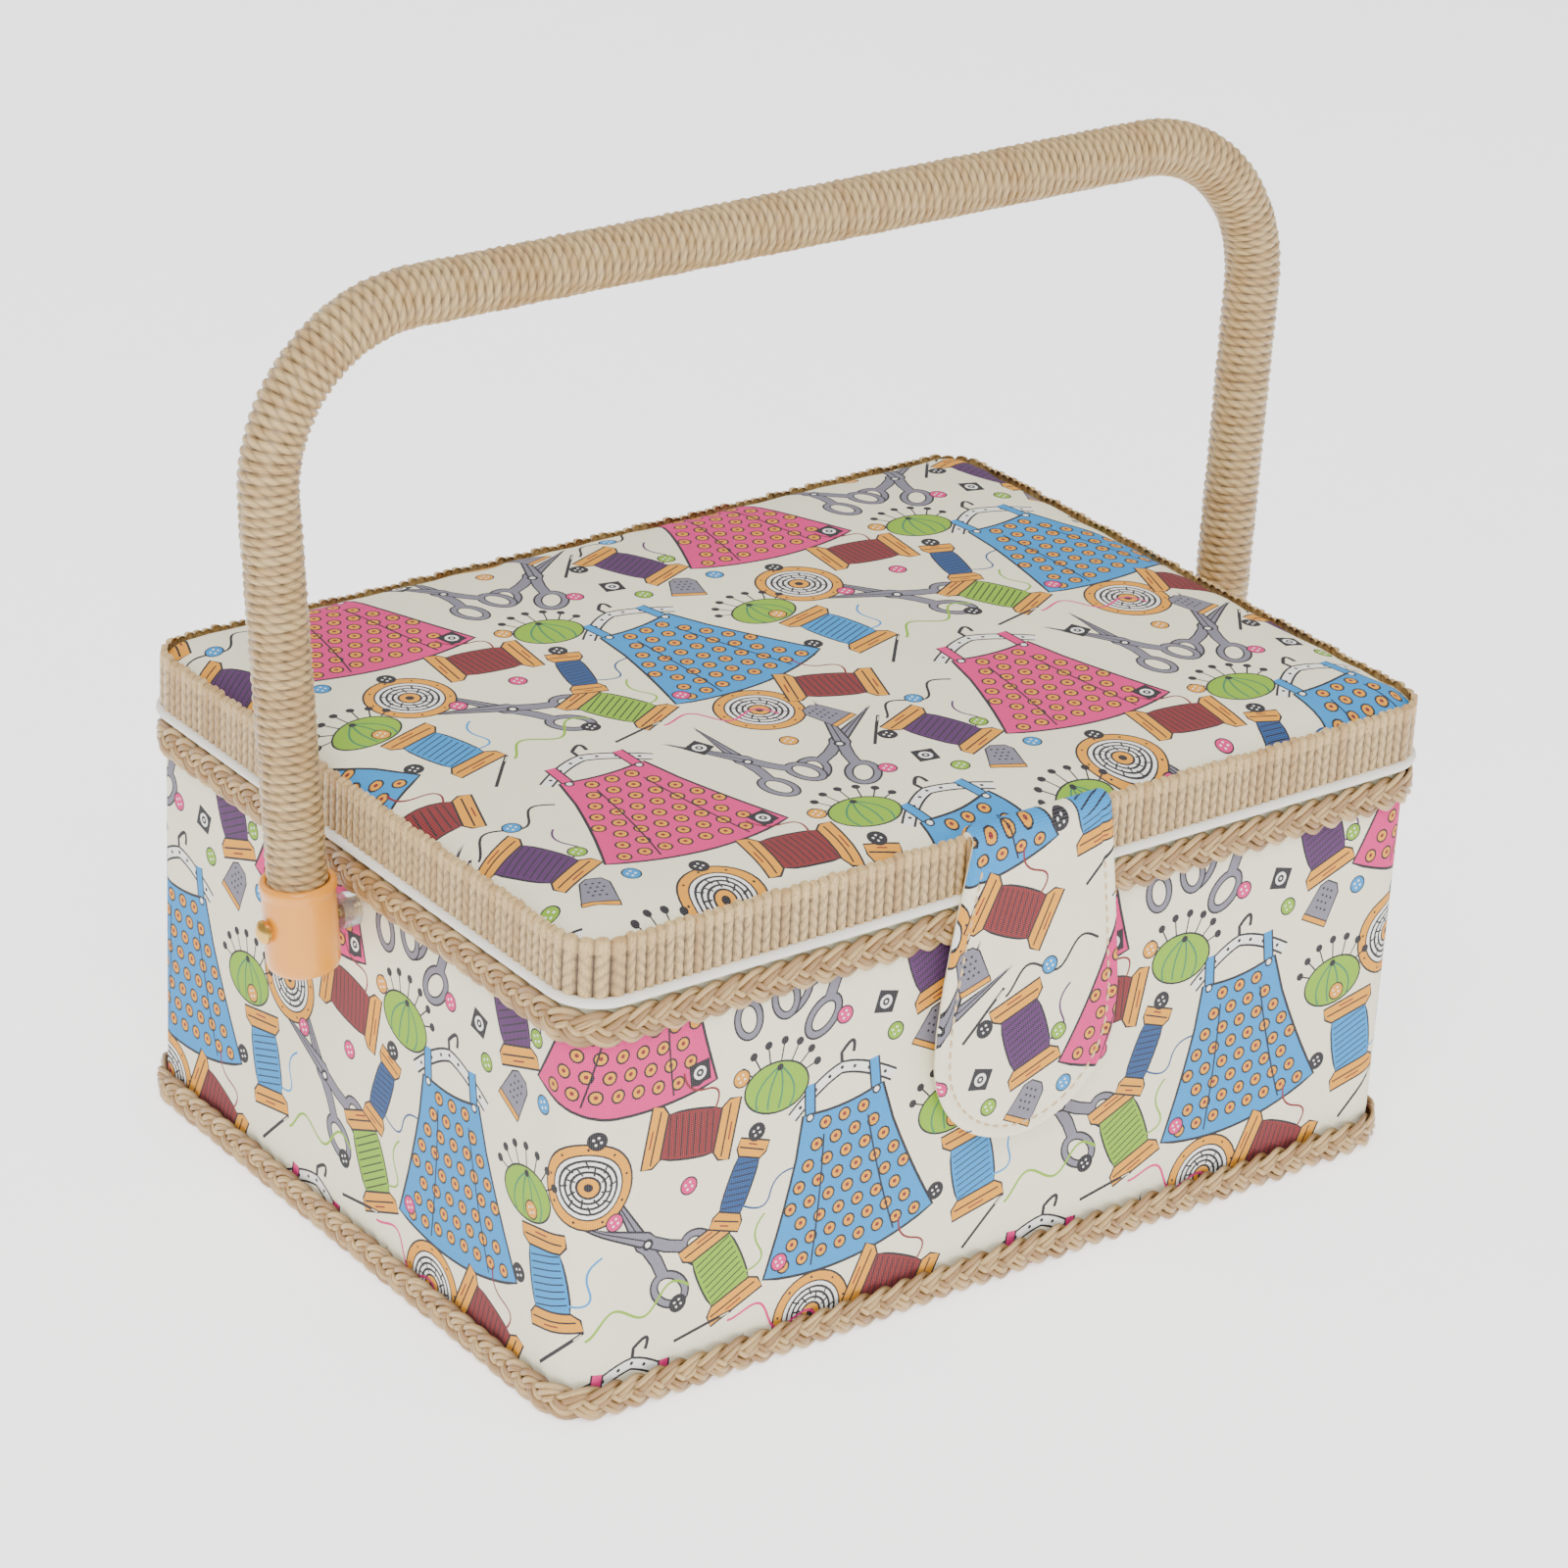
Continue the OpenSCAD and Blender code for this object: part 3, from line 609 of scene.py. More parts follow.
# ------------------------------------------------------------------ surfaces
CLOTH = material("printed_cloth", CREAM, rough=0.82, vary=0.07, noise=28, bump=0.35,
                 bump_scale=1400, ink=True, weave=520)
PLAIN_CLOTH = material("plain_cloth", CREAM, rough=0.85, vary=0.06, noise=35, bump=0.3,
                       bump_scale=1500, sheen=0.1)
THREAD = material("stitch_thread", "D8B98A", rough=0.6, vary=0.14, noise=300, bump=0.3,
                  bump_scale=2500, sheen=0.2)
SLOT_SURFACES = {
    "printed_cloth": PLAIN_CLOTH,
    "foam_pad": PLAIN_CLOTH,
    # twine and raffia: the first colour of each pair is the painted shade in their crevices, the second the real
    # tint of some strands
    "paper_twine": material("paper_twine", "E4C286", rough=0.28, vary=0.22, noise=0.4,
                            bump=0.5, stretch=(0.9, 7.0, 1.0), coat=0.30, flecks="A87436",
                            crevice_shade=("3E220A", "B58546")),
    "raffia_plait": material("raffia", "DAB67C", rough=0.32, vary=0.24, noise=0.3, bump=0.6,
                             stretch=(0.35, 9.0, 1.0), coat=0.28, flecks="A87F4E",
                             crevice_shade=("452A12", "9A6E3E")),
    "piping_cord": material("piping_cloth", "F3EFE4", rough=0.75, vary=0.06, noise=120,
                            bump=0.3, bump_scale=1800, sheen=0.15),
    "yellow_plastic": material("yellow_plastic", "F29B22", rough=0.30, vary=0.05, noise=45,
                               bump=0.05, bump_scale=260, coat=0.35),
    "brass": material("brass", "D9AE5C", rough=0.26, vary=0.12, noise=160, bump=0.05,
                      bump_scale=1200, metal=1.0),
    "steel": material("steel", "B9BBC0", rough=0.34, vary=0.10, noise=200, bump=0.06,
                      bump_scale=1500, metal=1.0),
    "clear_plastic": material("clear_plastic", "EEF2F4", rough=0.12, vary=0.03, noise=80,
                              bump=0.04, bump_scale=300, see_through=0.85, coat=0.3),
    "tray_plastic": material("tray_plastic", "F1EEE6", rough=0.36, vary=0.04, noise=40,
                             bump=0.06, bump_scale=500, coat=0.15),
    "wood_board": material("board", "C9A878", rough=0.62, vary=0.20, noise=22, bump=0.2,
                           bump_scale=260, flecks="A98355"),
    "base_card": material("base_card", "CFC6B2", rough=0.85, vary=0.10, noise=60, bump=0.25,
                          bump_scale=1200, flecks="B5AA92"),
    "satin_lining": material("satin", "F3EADB", rough=0.38, vary=0.08, noise=26, bump=0.12,
                             bump_scale=1500, sheen=0.3, coat=0.06),
    "cushion_felt": material("felt", "D8476F", rough=0.9, vary=0.16, noise=140, bump=0.5,
                             bump_scale=1300, sheen=0.4, flecks="C23A61"),
    "elastic": material("elastic", "EFE6D8", rough=0.7, vary=0.10, noise=200, bump=0.5,
                        bump_scale=1600),
}


def dress_cad_nodes():
    """Gives every CAD node the surface of its slot."""
    slots = {part["node"]: part["material_slot"] for part in frame["record"]["subparts"]}
    for name, node in frame["nodes"].items():
        surface = SLOT_SURFACES[slots[name]]
        if name == "lid_frame":
            surface = PLAIN_CLOTH
        node.data.materials.clear()
        node.data.materials.append(surface)


# ------------------------------------------------------------------ printed cloth pieces
def make_walls():
    """One printed strip round the walls, bent at the corners."""
    loop = Loop(WALL_X, WALL_Y, CORNER_R)
    half, arc = loop.length / 2, math.pi * CORNER_R / 2
    starts = (WALL_X - CORNER_R, WALL_X - CORNER_R + arc + 2 * (WALL_Y - CORNER_R))
    bends = [sign * (start + arc * k / 8) for start in starts for k in range(9)
             for sign in (-1, 1)]
    low = cover_low[2]
    outline = rect(-half, low, half, RIM_Z)
    flat, tris, ink = printed(outline, cuts_u=bends, shift=(-22, 26))
    spot, _ = loop.at(flat[:, 0])
    points = np.column_stack([spot, flat[:, 1]])
    piece = mesh_piece("printed_walls", points, tris, "box", "printed_cloth", CLOTH,
                       replaces=("body_cover",), uvs={"weave": flat * MM}, ink=ink)


def ring_piece(name, profile, body, slot, half_x, half_y, radius, step=3.0, **extra):
    """A closed ring: profile is (out, z) points round its section."""
    loop = Loop(half_x, half_y, radius)
    rows = int(loop.length / step)
    s = np.linspace(0, loop.length, rows, endpoint=False)
    spot, out = loop.at(s)
    profile = np.asarray(profile, float)
    points = np.empty((rows, len(profile), 3))
    points[..., :2] = spot[:, None] + out[:, None] * profile[None, :, :1]
    points[..., 2] = profile[None, :, 1]
    return mesh_piece(name, points.reshape(-1, 3), grid_faces(rows, len(profile), True, True),
                      body, slot, **extra)


def make_rim_binding():
    """The cloth turned over the top of the boards."""
    top, low, thick = RIM_Z + 0.25, RIM_Z - 4, 6.4
    profile = [(0.15, low), (0.15, top - 0.6), (-0.35, top), (-thick + 0.5, top),
               (-thick, top - 0.6), (-thick, low)]
    ring_piece("rim_binding", profile, "box", "printed_cloth", WALL_X, WALL_Y, CORNER_R)


def edge_distance(x, y, half_x, half_y, radius):
    """How far inside a rounded rectangle a point is."""
    qx, qy = np.abs(x) - (half_x - radius), np.abs(y) - (half_y - radius)
    outside = np.hypot(np.maximum(qx, 0), np.maximum(qy, 0))
    return radius - outside - np.minimum(np.maximum(qx, qy), 0)


def make_lid_cover():
    """The padded, printed top, drawn down behind the band."""
    half_x, half_y = lid_high[0] - 0.1, lid_high[1] - 0.1
    radius = CORNER_R - 0.3
    loop = Loop(half_x, half_y, radius)
    outline, _ = loop.at(loop.s[:-1])
    near = (1.2, 2.8, 5.0, 8.0, 12.0, 17.0)
    step = 8.5
    cuts = []
    for half in (half_x, half_y):
        inner = np.arange(-half + near[-1] + step, half - near[-1] - step / 2, step)
        cuts.append(list(inner) + [sign * (half - d) for d in near for sign in (-1, 1)])
    flat, tris, ink = printed(outline, cuts[0], cuts[1], shift=(14, -6), turn=math.radians(3.5))
    x, y = flat.T
    inside = np.maximum(edge_distance(x, y, half_x, half_y, radius), 0)
    edge_z, top_z = band_high[2] - 2.2, lid_high[2] - 0.3
    swell = 0.72 * (1 - np.exp(-inside / 5.5)) + 0.28 * (1 - np.exp(-inside / 34))
    z = edge_z + (top_z - edge_z) * swell
    run = np.where(np.abs(x) / half_x > np.abs(y) / half_y, y, x)
    gathers = np.sin(run * 0.37 + 1.7 * np.sin(run * 0.061)) * np.exp(-inside / 7)
    z += 0.35 * gathers * np.minimum(inside / 1.5, 1)
    z += 0.25 * np.sin(x * 0.045 + 1) * np.sin(y * 0.06 + 0.4) * np.minimum(inside / 20, 1)
    piece = mesh_piece("printed_lid", np.column_stack([x, y, z]), tris, "lid",
                       "printed_cloth", CLOTH, replaces=("lid_cover", "lid_pad"),
                       uvs={"weave": flat * MM}, ink=ink)


FLAP_Y = (flap_low[1] + flap_high[1]) / 2
FLAP_TOP = band_high[2] - 0.4
FLAP_OVER_R = 2.5


def hang(flat, off):
    """From the flap's flat cut to its place: up the front, then over the band."""
    x, v = flat[:, 0], flat[:, 1]
    over = np.clip((v - FLAP_TOP) / FLAP_OVER_R, 0, math.pi)
    past = np.maximum(v - FLAP_TOP - math.pi * FLAP_OVER_R, 0)
    reach = FLAP_OVER_R - off
    y = FLAP_Y + FLAP_OVER_R - reach * np.cos(over)
    z = np.minimum(v, FLAP_TOP) + reach * np.sin(over) - past
    # the cloth bows a little from side to side and lifts at its free edges
    drop = np.clip((FLAP_TOP - v) / 90, 0, 1)
    y = y - 1.0 * drop * (x / 32) ** 2 * np.cos(v * 0.03) - 0.5 * np.sin(v * 0.09) * drop
    return np.column_stack([x, y, z])


def flap_cut():
    """The flap's outline, from its half-round end to the seam on the lid."""
    r = (flap_high[0] - flap_low[0]) / 2
    low = flap_low[2]
    centre_z, flare, top_half = low + r, 8.0, 24.0
    arc = [(r * math.cos(a), centre_z + r * math.sin(a))
           for a in np.linspace(-math.pi, 0, 41)]
    seam = FLAP_TOP + math.pi * FLAP_OVER_R + 2
    right = bow((r, centre_z + flare), (r - 2, centre_z + 30), (top_half, FLAP_TOP), 10)
    left = [(-x, z) for x, z in right[::-1]]
    return np.array(arc + list(right) + [(top_half, seam), (-top_half, seam)] + left)


def outline_distance(points, outline):
    """Distance of each point from a closed outline."""
    a, b = outline, np.roll(outline, -1, 0)
    d = b - a
    t = np.einsum("nkj,kj->nk", points[:, None] - a[None], d) / np.maximum((d * d).sum(1), 1e-9)
    near = a[None] + np.clip(t, 0, 1)[..., None] * d[None]
    return np.linalg.norm(points[:, None] - near, axis=2).min(1)


HEM, HEM_R = 4.0, 1.6


def make_flap():
    """Printed front, plain back and a row of stitches, all bending at the lid's edge."""
    cut = flap_cut()
    low, high = cut.min(0), cut.max(0)
    u = list(np.arange(low[0] + 2, high[0], 4.0))
    v = list(np.arange(low[1] + 2, FLAP_TOP - 1, 5.0))
    v += list(FLAP_TOP + np.linspace(0, math.pi * FLAP_OVER_R, 9))
    pieces = []
    for name, sign, motifs in (("flap_front", 1, True), ("flap_back", -1, False)):
        flat, tris, ink = printed(cut, u, v, shift=(8, -4) if motifs else (0, 0),
                                  motifs=PRINT if motifs else (), rings=(0.5, 1.6, 3.0, 4.0, 5.2))
        inside = outline_distance(flat, cut)
        lift = HEM_R * np.sqrt(np.clip(1 - (1 - np.minimum(inside / HEM_R, 1)) ** 2, 0, 1))
        dip = 0.45 * np.exp(-((inside - HEM) / 0.8) ** 2)
        puff = 0.25 * np.clip((inside - HEM) / 10, 0, 1)
        off = -sign * np.minimum(lift - dip + puff, 1.8)
        if sign < 0:
            tris = tris[:, ::-1]
        pieces.append(mesh_piece(
            name, hang(flat, off), tris, "flap", "printed_cloth", CLOTH, ride=False,
            replaces=("flap", "flap_root") if sign > 0 else (), uvs={"weave": flat * MM},
            ink=ink))
    pieces.append(make_flap_stitches(cut))
    for piece in pieces:
        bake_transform(piece)


def make_flap_stitches(cut):
    """A row of running stitches inside the edge."""
    line = grow(cut, -HEM)
    line = np.array([p for p in line if p[1] < FLAP_TOP - 1])
    start = int(np.argmax(line[:, 0] * 0.1 + line[:, 1]))
    line = np.roll(line, -start, 0)[::-1]
    lengths = np.concatenate([[0], np.cumsum(np.linalg.norm(np.diff(line, axis=0), axis=1))])
    rows, sides, pitch, long = 7, 8, 3.6, 2.5
    points, faces = [], []
    for s in np.arange(1, lengths[-1] - long, pitch):
        k = s + long * np.linspace(0, 1, rows)
        spot = np.column_stack([np.interp(k, lengths, line[:, i]) for i in (0, 1)])
        along = spot[-1] - spot[0]
        side = np.array([-along[1], along[0]]) / np.linalg.norm(along)
        swell = np.sin(np.pi * np.linspace(0.06, 0.94, rows)) ** 0.5
        for row in range(rows):
            for a in circle(sides):
                flat = spot[row] + side * 0.42 * swell[row] * math.cos(a)
                off = -1.25 - 0.42 * swell[row] * math.sin(a) + 0.25 * (1 - swell[row])
                points.append(hang(flat[None], off)[0])
        base = len(points) - rows * sides
        faces.append(grid_faces(rows, sides, False, True) + base)
    return mesh_piece("flap_stitches", points, np.concatenate(faces), "flap",
                      "printed_cloth", THREAD, ride=False)


# ------------------------------------------------------------------ twine and plaits
def hinge_dodge(spot, width=15.0, fade=6.0):
    """1 where the back hinges are, fading to 0."""
    _, high = corners("hinge_body_leaves")
    middle = high[0] - width
    near = np.abs(np.abs(spot[..., 0]) - middle) - width
    weight = np.clip(1 - near / fade, 0, 1) * (spot[..., 1] > WALL_Y - 2)
    return weight * weight * (3 - 2 * weight)


PLAIT_TURN = 21.0


def make_plait(name, node, body, seed):
    """Three flat strands, each of three fibres, plaited round the walls."""
    low, high = corners(node)
    middle, tall = (low[2] + high[2]) / 2, high[2] - low[2]
    thick = high[0] - WALL_X
    loop = Loop(WALL_X, WALL_Y, CORNER_R)
    turns = round(loop.length / PLAIT_TURN)
    rows, sides, fibres = turns * 18, 7, 3
    s = np.linspace(0, loop.length, rows, endpoint=False)
    chance = random.Random(seed)
    phase = 2 * np.pi * s * turns / loop.length
    wander = 0.35 * np.sin(s * 0.11) + 0.25 * np.sin(s * 0.037 + 2)
    swing, wide = tall / 2 - 2.7, 1.75
    r_side, r_out = 1.12, 0.72
    points, faces, crevice_shade, tint, uv = [], [], [], [], []
    for strand in range(3):
        t = phase + 2 * np.pi * strand / 3
        across, across_rate = swing * np.sin(t), swing * np.cos(t) * 2 * np.pi / PLAIT_TURN
        depth = 0.32 * thick * np.sin(2 * t)
        lean = np.stack([-across_rate, np.ones_like(s)], 1)
        lean /= np.linalg.norm(lean, axis=1, keepdims=True)
        for fibre in range(fibres):
            shift = wide * (fibre - 1) * (1 + 0.15 * np.sin(s * 0.3 + strand + fibre))
            along = s + lean[:, 0] * shift
            z = middle + across + lean[:, 1] * shift + 0.3 * wander
            spot, out = loop.at(along)
            bulge = 0.22 * (1 - (fibre - 1) ** 2) + 0.10 * np.sin(s * 0.9 + fibre * 2)
            away = 0.52 * thick + depth + bulge
            dodge = hinge_dodge(spot) * (node == "rim_plait")
            own_tint = chance.choice((0.0, 0.15, 0.35, 0.75))
            for side in range(sides):
                a = 2 * math.pi * side / sides
                reach = away + r_out * math.sin(a)
                rim = np.stack([spot[:, 0] + out[:, 0] * (reach + 0.8 * dodge),
                                spot[:, 1] + out[:, 1] * (reach + 0.8 * dodge),
                                z + r_side * math.cos(a)], 1)
                rim[:, 2] = low[2] + (rim[:, 2] - low[2]) * (1 - 0.26 * dodge)
                points.append(rim)
                # painted shade: a fibre is darker the deeper it lies in the plait and on its side facing the wall,
                # lighter on its outward side
                height = (depth / (0.32 * thick) + 1) / 2
                crevice_shade.append(np.clip(0.30 + 0.5 * height + 0.35 * math.sin(a), 0, 1))
                tint.append(np.full(rows, own_tint))
                lane = fibre * 3 + strand + side / sides
                uv.append(np.column_stack([s / 4, np.full(rows, lane)]))
            chance.random()  # one draw between fibres, so that their tints fall differently
            base = (strand * fibres + fibre) * rows * sides
            faces.append(grid_faces(sides, rows, True, True) + base)
    mesh_piece(name, np.concatenate(points), np.concatenate(faces), body, "raffia_plait",
               replaces=(node,),
               attributes={"crevice_shade": np.concatenate(crevice_shade), "tint": np.concatenate(tint)},
               uvs={"strand": np.concatenate(uv)})


def rope_relief(p, along, ply_pitch, slant):
    """Height from 0 to 1 over a two-ply twine; p runs 0 to 1 across it."""
    across = 2 * p - 1
    body = np.sqrt(np.clip(1 - across ** 2, 0, 1))
    ply = np.abs(np.cos(np.pi * (along / ply_pitch) - slant * across))
    return body, ply ** 0.6


BAND_PLY, WRAP_PLY = 3.5, 4.4
TUCK = 2.1


def make_band():
    """The lid's side: upright turns of twine, closer on the flats than at the corners."""
    loop = Loop(WALL_X, WALL_Y, CORNER_R)
    low, high = band_low[2] - TUCK, band_high[2]
    edges, s = [0.0], 0.0
    chance = random.Random(11)
    while s < loop.length - 2.4:
        _, out = loop.at(np.array([s]))
        corner = min(abs(out[0, 0]), abs(out[0, 1])) > 0.05
        s += (4.1 if corner else 3.05) * chance.uniform(0.92, 1.08)
        edges.append(min(s, loop.length))
    edges = np.array(edges) * loop.length / edges[-1]
    per, rows, roll = 6, 34, 5
    count = len(edges) - 1
    p = np.tile(np.arange(per) / per, count)
    which = np.repeat(np.arange(count), per)
    s = edges[which] + p * (edges[which + 1] - edges[which])
    shift = np.array([chance.uniform(0, 4) for _ in range(count)])[which]
    tint = np.array([chance.choice((0, 0, 0.1, 0.25, 0.5)) for _ in range(count)])[which]
    tops = np.array([chance.uniform(-0.5, 0.35) for _ in range(count)])[which]
    spot, out = loop.at(s)
    points = np.empty((rows + roll, len(s), 3))
    crevice_shade = np.empty((rows + roll, len(s)))
    body_p = np.sqrt(np.clip(1 - (2 * p - 1) ** 2, 0, 1))
    slant = np.where(which % 2, 1.7, -1.7)
    top = high - 0.9 + tops + 0.9 * body_p
    for row in range(rows + roll):
        if row < rows:
            z = low + (top - low) * row / (rows - 1)
            body, ply = rope_relief(p, z + shift, BAND_PLY, slant)
            away = 0.5 + 1.15 * body + 0.35 * ply * body
        else:
            angle = math.pi / 2 * (row - rows + 1) / roll
            body, ply = rope_relief(p, top + shift, BAND_PLY, slant)
            away = (0.5 + 1.2 * body) * math.cos(angle) - 0.3 * math.sin(angle)
            z = top + 0.6 * math.sin(angle)
        lean_in = 0.05 * (z - low) / (high - low)
        points[row, :, :2] = spot + out * (away - lean_in)[:, None]
        points[row, :, 2] = z
        # painted shade: darker in the grooves at the edges of each turn and between its plies; the top rows and
        # the roll-over get less painted shade, as lit from above
        least = 0.0 if row < rows - 7 else 0.45
        crevice_shade[row] = np.clip(least + 1.12 * body * (0.35 + 0.65 * ply), 0, 1)
    uv = np.stack([np.broadcast_to(s / 3, crevice_shade.shape),
                   points[..., 2] / 3 + np.broadcast_to(shift, crevice_shade.shape)], -1)
    mesh_piece("twine_band", points.reshape(-1, 3),
               grid_faces(rows + roll, len(s), False, True), "lid", "paper_twine",
               replaces=("lid_band",),
               attributes={"crevice_shade": crevice_shade.ravel(), "tint": np.tile(tint, rows + roll)},
               uvs={"strand": uv.reshape(-1, 2)[:, ::-1]})


WRAP_R = 8.5
LEAN, SPLAY, BEND_R = math.radians(3.0), math.radians(3.2), 46.0
_, spacer_high = corners("spacer_right")
SOCKET_R, SOCKET_H, SEAT = 10.5, 27.0, 6.2
SOCKET_X = spacer_high[0] + 0.8 + SOCKET_R
BAR_H = 172.0


def in_handle(points):
    """From the handle's own upright frame to its place, leaning back about the pivot."""
    c, s = math.cos(LEAN), math.sin(LEAN)
    x, y, z = np.moveaxis(np.asarray(points, float), -1, 0)
    return np.stack([x, y * c + z * s, z * c - y * s + PIVOT[2]], -1)


def handle_line(step):
    """Middle line of the handle from the left seat to the right, with its sideways normal."""
    run = (BAR_H - BEND_R - BEND_R * math.sin(SPLAY)) / math.cos(SPLAY)
    bend_x = SOCKET_X + run * math.sin(SPLAY) - BEND_R * math.cos(SPLAY)
    sweep = math.pi / 2 + SPLAY
    parts = [run - SEAT, BEND_R * sweep, 2 * bend_x, BEND_R * sweep, run - SEAT]
    ends = np.cumsum([0] + parts)
    s = np.linspace(0, ends[-1], int(ends[-1] / step))
    spots, normals = [], []
    for at in s:
        side = -1 if at < ends[-1] / 2 else 1
        t = at if side < 0 else ends[-1] - at
        if t < ends[1]:
            d = SEAT + t
            x, z = SOCKET_X + d * math.sin(SPLAY), d * math.cos(SPLAY)
            nx, nz = math.cos(SPLAY), -math.sin(SPLAY)
        elif t < ends[2]:
            a = (t - ends[1]) / BEND_R - SPLAY
            nx, nz = math.cos(a), math.sin(a)
            x, z = bend_x + BEND_R * nx, BAR_H - BEND_R + BEND_R * nz
        else:
            x, z, nx, nz = bend_x - (t - ends[2]), BAR_H, 0, 1
        spots.append((side * x, 0, z))
        normals.append((side * nx, 0, nz))
    return s, np.array(spots), np.array(normals)


def make_wrap():
    """Twine wound round the handle's tube in a close helix."""
    pitch, sides = 2.75, 72
    s, spots, normals = handle_line(pitch / 6)
    angle = circle(sides)
    chance = random.Random(5)
    turns = int(s[-1] / pitch) + 3
    jitter = np.array([chance.uniform(-0.10, 0.10) for _ in range(turns)])
    shades = np.array([chance.choice((0, 0.05, 0.15, 0.35)) for _ in range(turns)])
    place = s[:, None] / pitch + angle[None] / (2 * np.pi)
    index = np.floor(place).astype(int)
    p = place - index
    around = (index + p) * 2 * np.pi * WRAP_R
    body, ply = rope_relief(p, around, WRAP_PLY, 1.9)
    end = np.minimum(1, np.minimum(s, s[-1] - s)[:, None] / 4)
    radius = WRAP_R - 1.25 + (0.75 * body + 0.55 * ply * body) + jitter[index] * end
    ring = (np.cos(angle)[None, :, None] * normals[:, None]
            + np.sin(angle)[None, :, None] * np.array([0, 1, 0]))
    points = in_handle(spots[:, None] + radius[..., None] * ring)
    # painted shade: darker in the grooves between the turns and between the plies of the twine
    crevice_shade = np.clip(1.15 * body * (0.35 + 0.65 * ply), 0, 1)
    uv = np.stack([around / 4, place], -1)
    mesh_piece("twine_wrap", points.reshape(-1, 3), grid_faces(len(s), sides, False, True),
               "handle", "paper_twine", replaces=("handle_wrap",),
               attributes={"crevice_shade": crevice_shade.ravel(), "tint": shades[index].ravel()},
               uvs={"strand": uv.reshape(-1, 2)})


def make_socket(side):
    """A moulded cup with a rolled lip that holds the end of the handle."""
    low, top = -SOCKET_H / 2, SOCKET_H / 2
    inner = WRAP_R + 0.1
    profile = [(0, low), (SOCKET_R - 3.2, low), (SOCKET_R - 1.4, low + 0.4),
               (SOCKET_R - 0.5, low + 1.3), (SOCKET_R - 0.15, low + 2.8),
               (SOCKET_R - 0.1, low + 6), (SOCKET_R - 0.15, 0), (SOCKET_R - 0.2, top - 4.6),
               (SOCKET_R - 0.35, top - 3.6), (SOCKET_R + 0.15, top - 2.9),
               (SOCKET_R + 0.3, top - 1.6), (SOCKET_R + 0.1, top - 0.5),
               (SOCKET_R - 0.5, top), (inner + 0.5, top), (inner + 0.1, top - 0.5),
               (inner, top - 1.4), (inner, SEAT), (0, SEAT)]
    sides = 72
    angle = circle(sides)
    r = np.array([p[0] for p in profile])[:, None]
    z = np.array([p[1] for p in profile])[:, None] + 0 * angle
    x, y = r * np.cos(angle), r * np.sin(angle)
    c, s = math.cos(SPLAY), math.sin(SPLAY)
    points = np.stack([side * (x * c + z * s + SOCKET_X), y, z * c - x * s], -1)
    name = "right" if side > 0 else "left"
    faces = grid_faces(len(profile), sides, False, True)
    if side < 0:
        faces = faces[:, ::-1]
    mesh_piece(f"moulded_socket_{name}", in_handle(points).reshape(-1, 3), faces, "handle",
               "yellow_plastic", replaces=(f"socket_{name}",))


# ------------------------------------------------------------------ inside
def slab(name, node, height, step, body, slot="satin_lining", under=None, inset=0):
    """A closed soft sheet in a node's place: flat on one side, height(x, y) thick on the
    other. It lies face up, or with under it hangs from that far above the node's top."""
    low, high = corners(node)
    (x0, y0), (x1, y1) = low[:2] + inset, high[:2] - inset
    down = under is not None
    z_flat = high[2] + under if down else low[2]
    nx, ny = max(2, int((x1 - x0) / step)), max(2, int((y1 - y0) / step))
    x, y = np.meshgrid(np.linspace(x0, x1, nx), np.linspace(y0, y1, ny))
    edge = np.minimum(np.minimum(x - x0, x1 - x), np.minimum(y - y0, y1 - y))
    rise = np.sqrt(np.clip(1 - (1 - np.minimum(edge / 3.0, 1)) ** 2, 0, 1))
    z = height(x, y) * (0.12 + 0.88 * rise)
    front = np.stack([x, y, z_flat + (-z if down else z)], -1).reshape(-1, 3)
    back = np.stack([x, y, np.full_like(x, z_flat)], -1).reshape(-1, 3)
    faces = grid_faces(ny, nx)
    rim = np.concatenate([np.arange(nx), np.arange(1, ny) * nx + nx - 1,
                          (ny - 1) * nx + np.arange(nx - 2, -1, -1),
                          np.arange(ny - 2, 0, -1) * nx])
    ahead = np.roll(rim, -1)
    total = nx * ny
    wall = np.stack([rim + total, ahead + total, ahead, rim], 1)
    faces = np.concatenate([faces, faces[:, ::-1] + total, wall])
    if down:
        faces = faces[:, ::-1]
    return mesh_piece(name, np.concatenate([front, back]), faces, body, slot, replaces=(node,))


def quilt(depth, thick, pitch=24.0):
    """The height of a sheet quilted in diamonds."""
    def height(x, y):
        u, v = (x + y) / pitch, (x - y) / pitch
        puff = (np.abs(np.sin(np.pi * u)) * np.abs(np.sin(np.pi * v))) ** 0.45
        return thick - depth + depth * puff
    return height


def make_lining():
    """Satin down the inside of the walls, drawn round the corner posts."""
    low, high = corners("body_lining")
    top = high[2] - 0.6
    steps = 26
    z = np.linspace(low[2] + 0.4, top, steps)
    profile = [(-0.2 * math.sin(k * 1.3) ** 2, zz) for k, zz in enumerate(z)]
    back = [(0.35, top), (0.35, low[2] + 0.4)]
    ring_piece("satin_walls", profile[::-1] + back[::-1], "box", "satin_lining",
               high[0] - 1.2, high[1] - 1.2, 21.5, step=4.0, replaces=("body_lining",))
    slab("quilted_floor", "floor_pad", quilt(1.1, 2.4), 2.4, "box")
    slab("quilted_lid_lining", "lid_lining", quilt(1.2, 2.2), 2.4, "lid",
                   under=-0.1, inset=1)


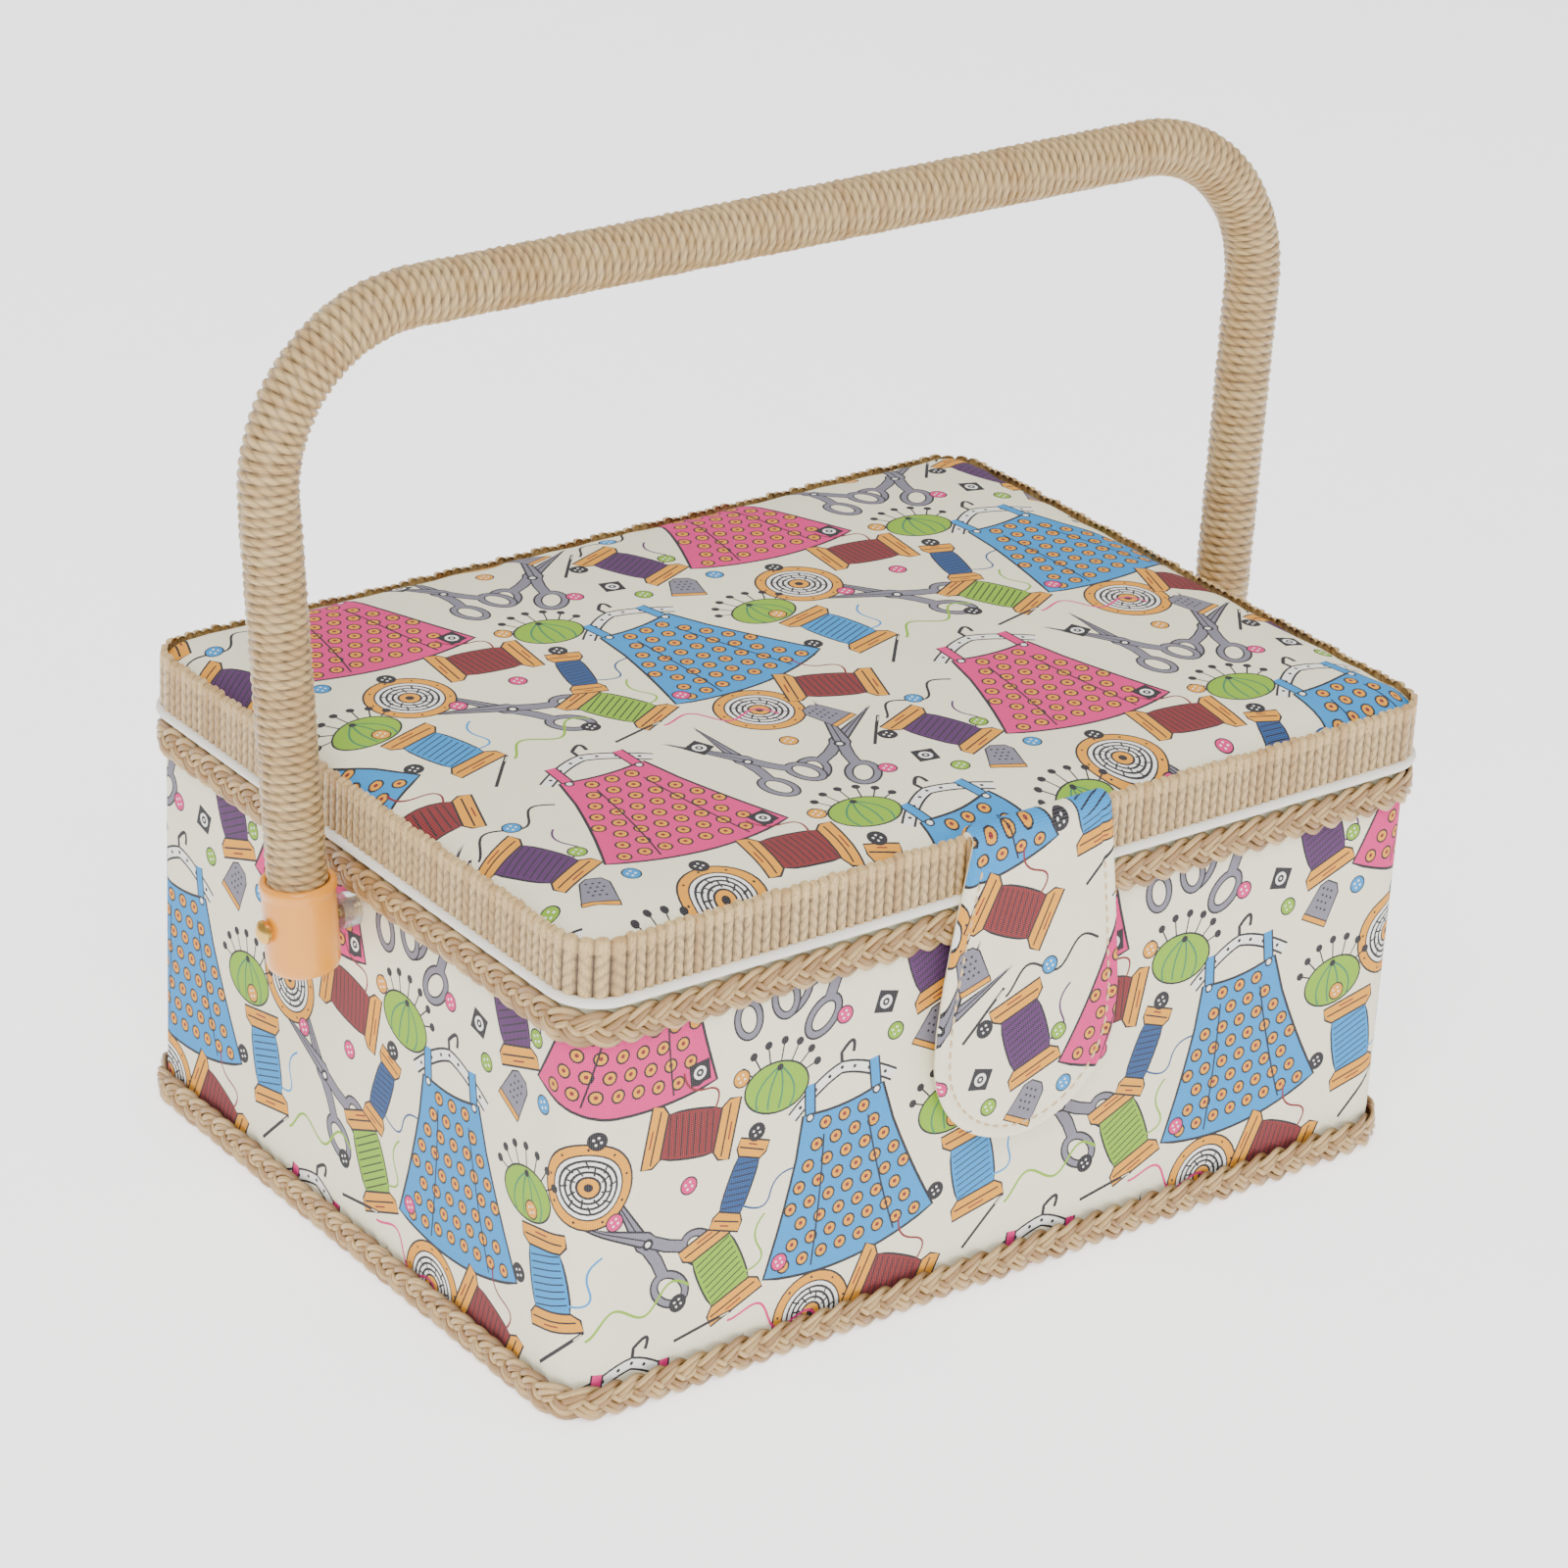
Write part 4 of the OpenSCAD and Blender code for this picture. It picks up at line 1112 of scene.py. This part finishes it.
def make_pocket():
    """A gathered pocket held up by an elastic along its open edge."""
    low, high = corners("lid_pocket")
    deep = high[1] - low[1]

    def folds(x, y):
        up = 1 - (y - low[1]) / deep
        gather = np.sin(x * 0.42 + 0.9 * np.sin(x * 0.083)) * (0.35 + 0.9 * up ** 2)
        belly = 2.0 * np.sin(np.pi * np.clip(1 - up, 0, 1))
        return 3.4 + 0.8 * gather + belly - 0.6 * up

    slab("gathered_pocket", "lid_pocket", folds, 1.7, "lid", under=-0.2)

    def ribs(x, _):
        return 1.5 + 0.35 * np.abs(np.sin(x * 0.9)) + 0.5 * np.sin(x * 0.42)

    slab("ruched_elastic", "pocket_elastic", ribs, 1.0, "lid", "elastic", under=1.6)


def make_pincushion():
    """A felt cushion, bulging and tucked in round its back."""
    low, high = corners("lid_pincushion")
    middle = (low + high) / 2
    half_x, half_y, thick = high[0] - middle[0], high[1] - middle[1], high[2] - low[2]
    columns, rows = 96, 22
    a = circle(columns)
    shape = (np.abs(np.cos(a)) ** 4 + np.abs(np.sin(a)) ** 4) ** -0.25
    points = []
    for k in range(rows):
        t = k / (rows - 1)
        pull = math.sin(math.pi / 2 * t) ** 0.5
        bulge = 1 + 0.03 * math.sin(math.pi * t)
        r = (1 - t ** 3) * bulge
        tuck = 1 + 0.012 * np.cos(a * 12) * math.sin(math.pi * t)
        z = high[2] - 0.2 - thick * 0.97 * pull
        points.append(np.column_stack([middle[0] + half_x * 0.97 * r * shape * np.cos(a) * tuck,
                                       middle[1] + half_y * 0.97 * r * shape * np.sin(a) * tuck,
                                       np.full(columns, z)]))
    faces = grid_faces(rows, columns, False, True)[:, ::-1]
    piece = mesh_piece("felt_pincushion", np.concatenate(points), faces, "lid",
                       "cushion_felt", replaces=("lid_pincushion",))


# ------------------------------------------------------------------ the whole
make_camera()
make_stage()
dress_cad_nodes()
make_walls()
make_rim_binding()
make_lid_cover()
make_flap()
make_plait("raffia_rim", "rim_plait", "box", 3)
make_plait("raffia_foot", "foot_plait", "box", 8)
make_band()
make_wrap()
make_socket(-1)
make_socket(1)
make_lining()
make_pocket()
make_pincushion()
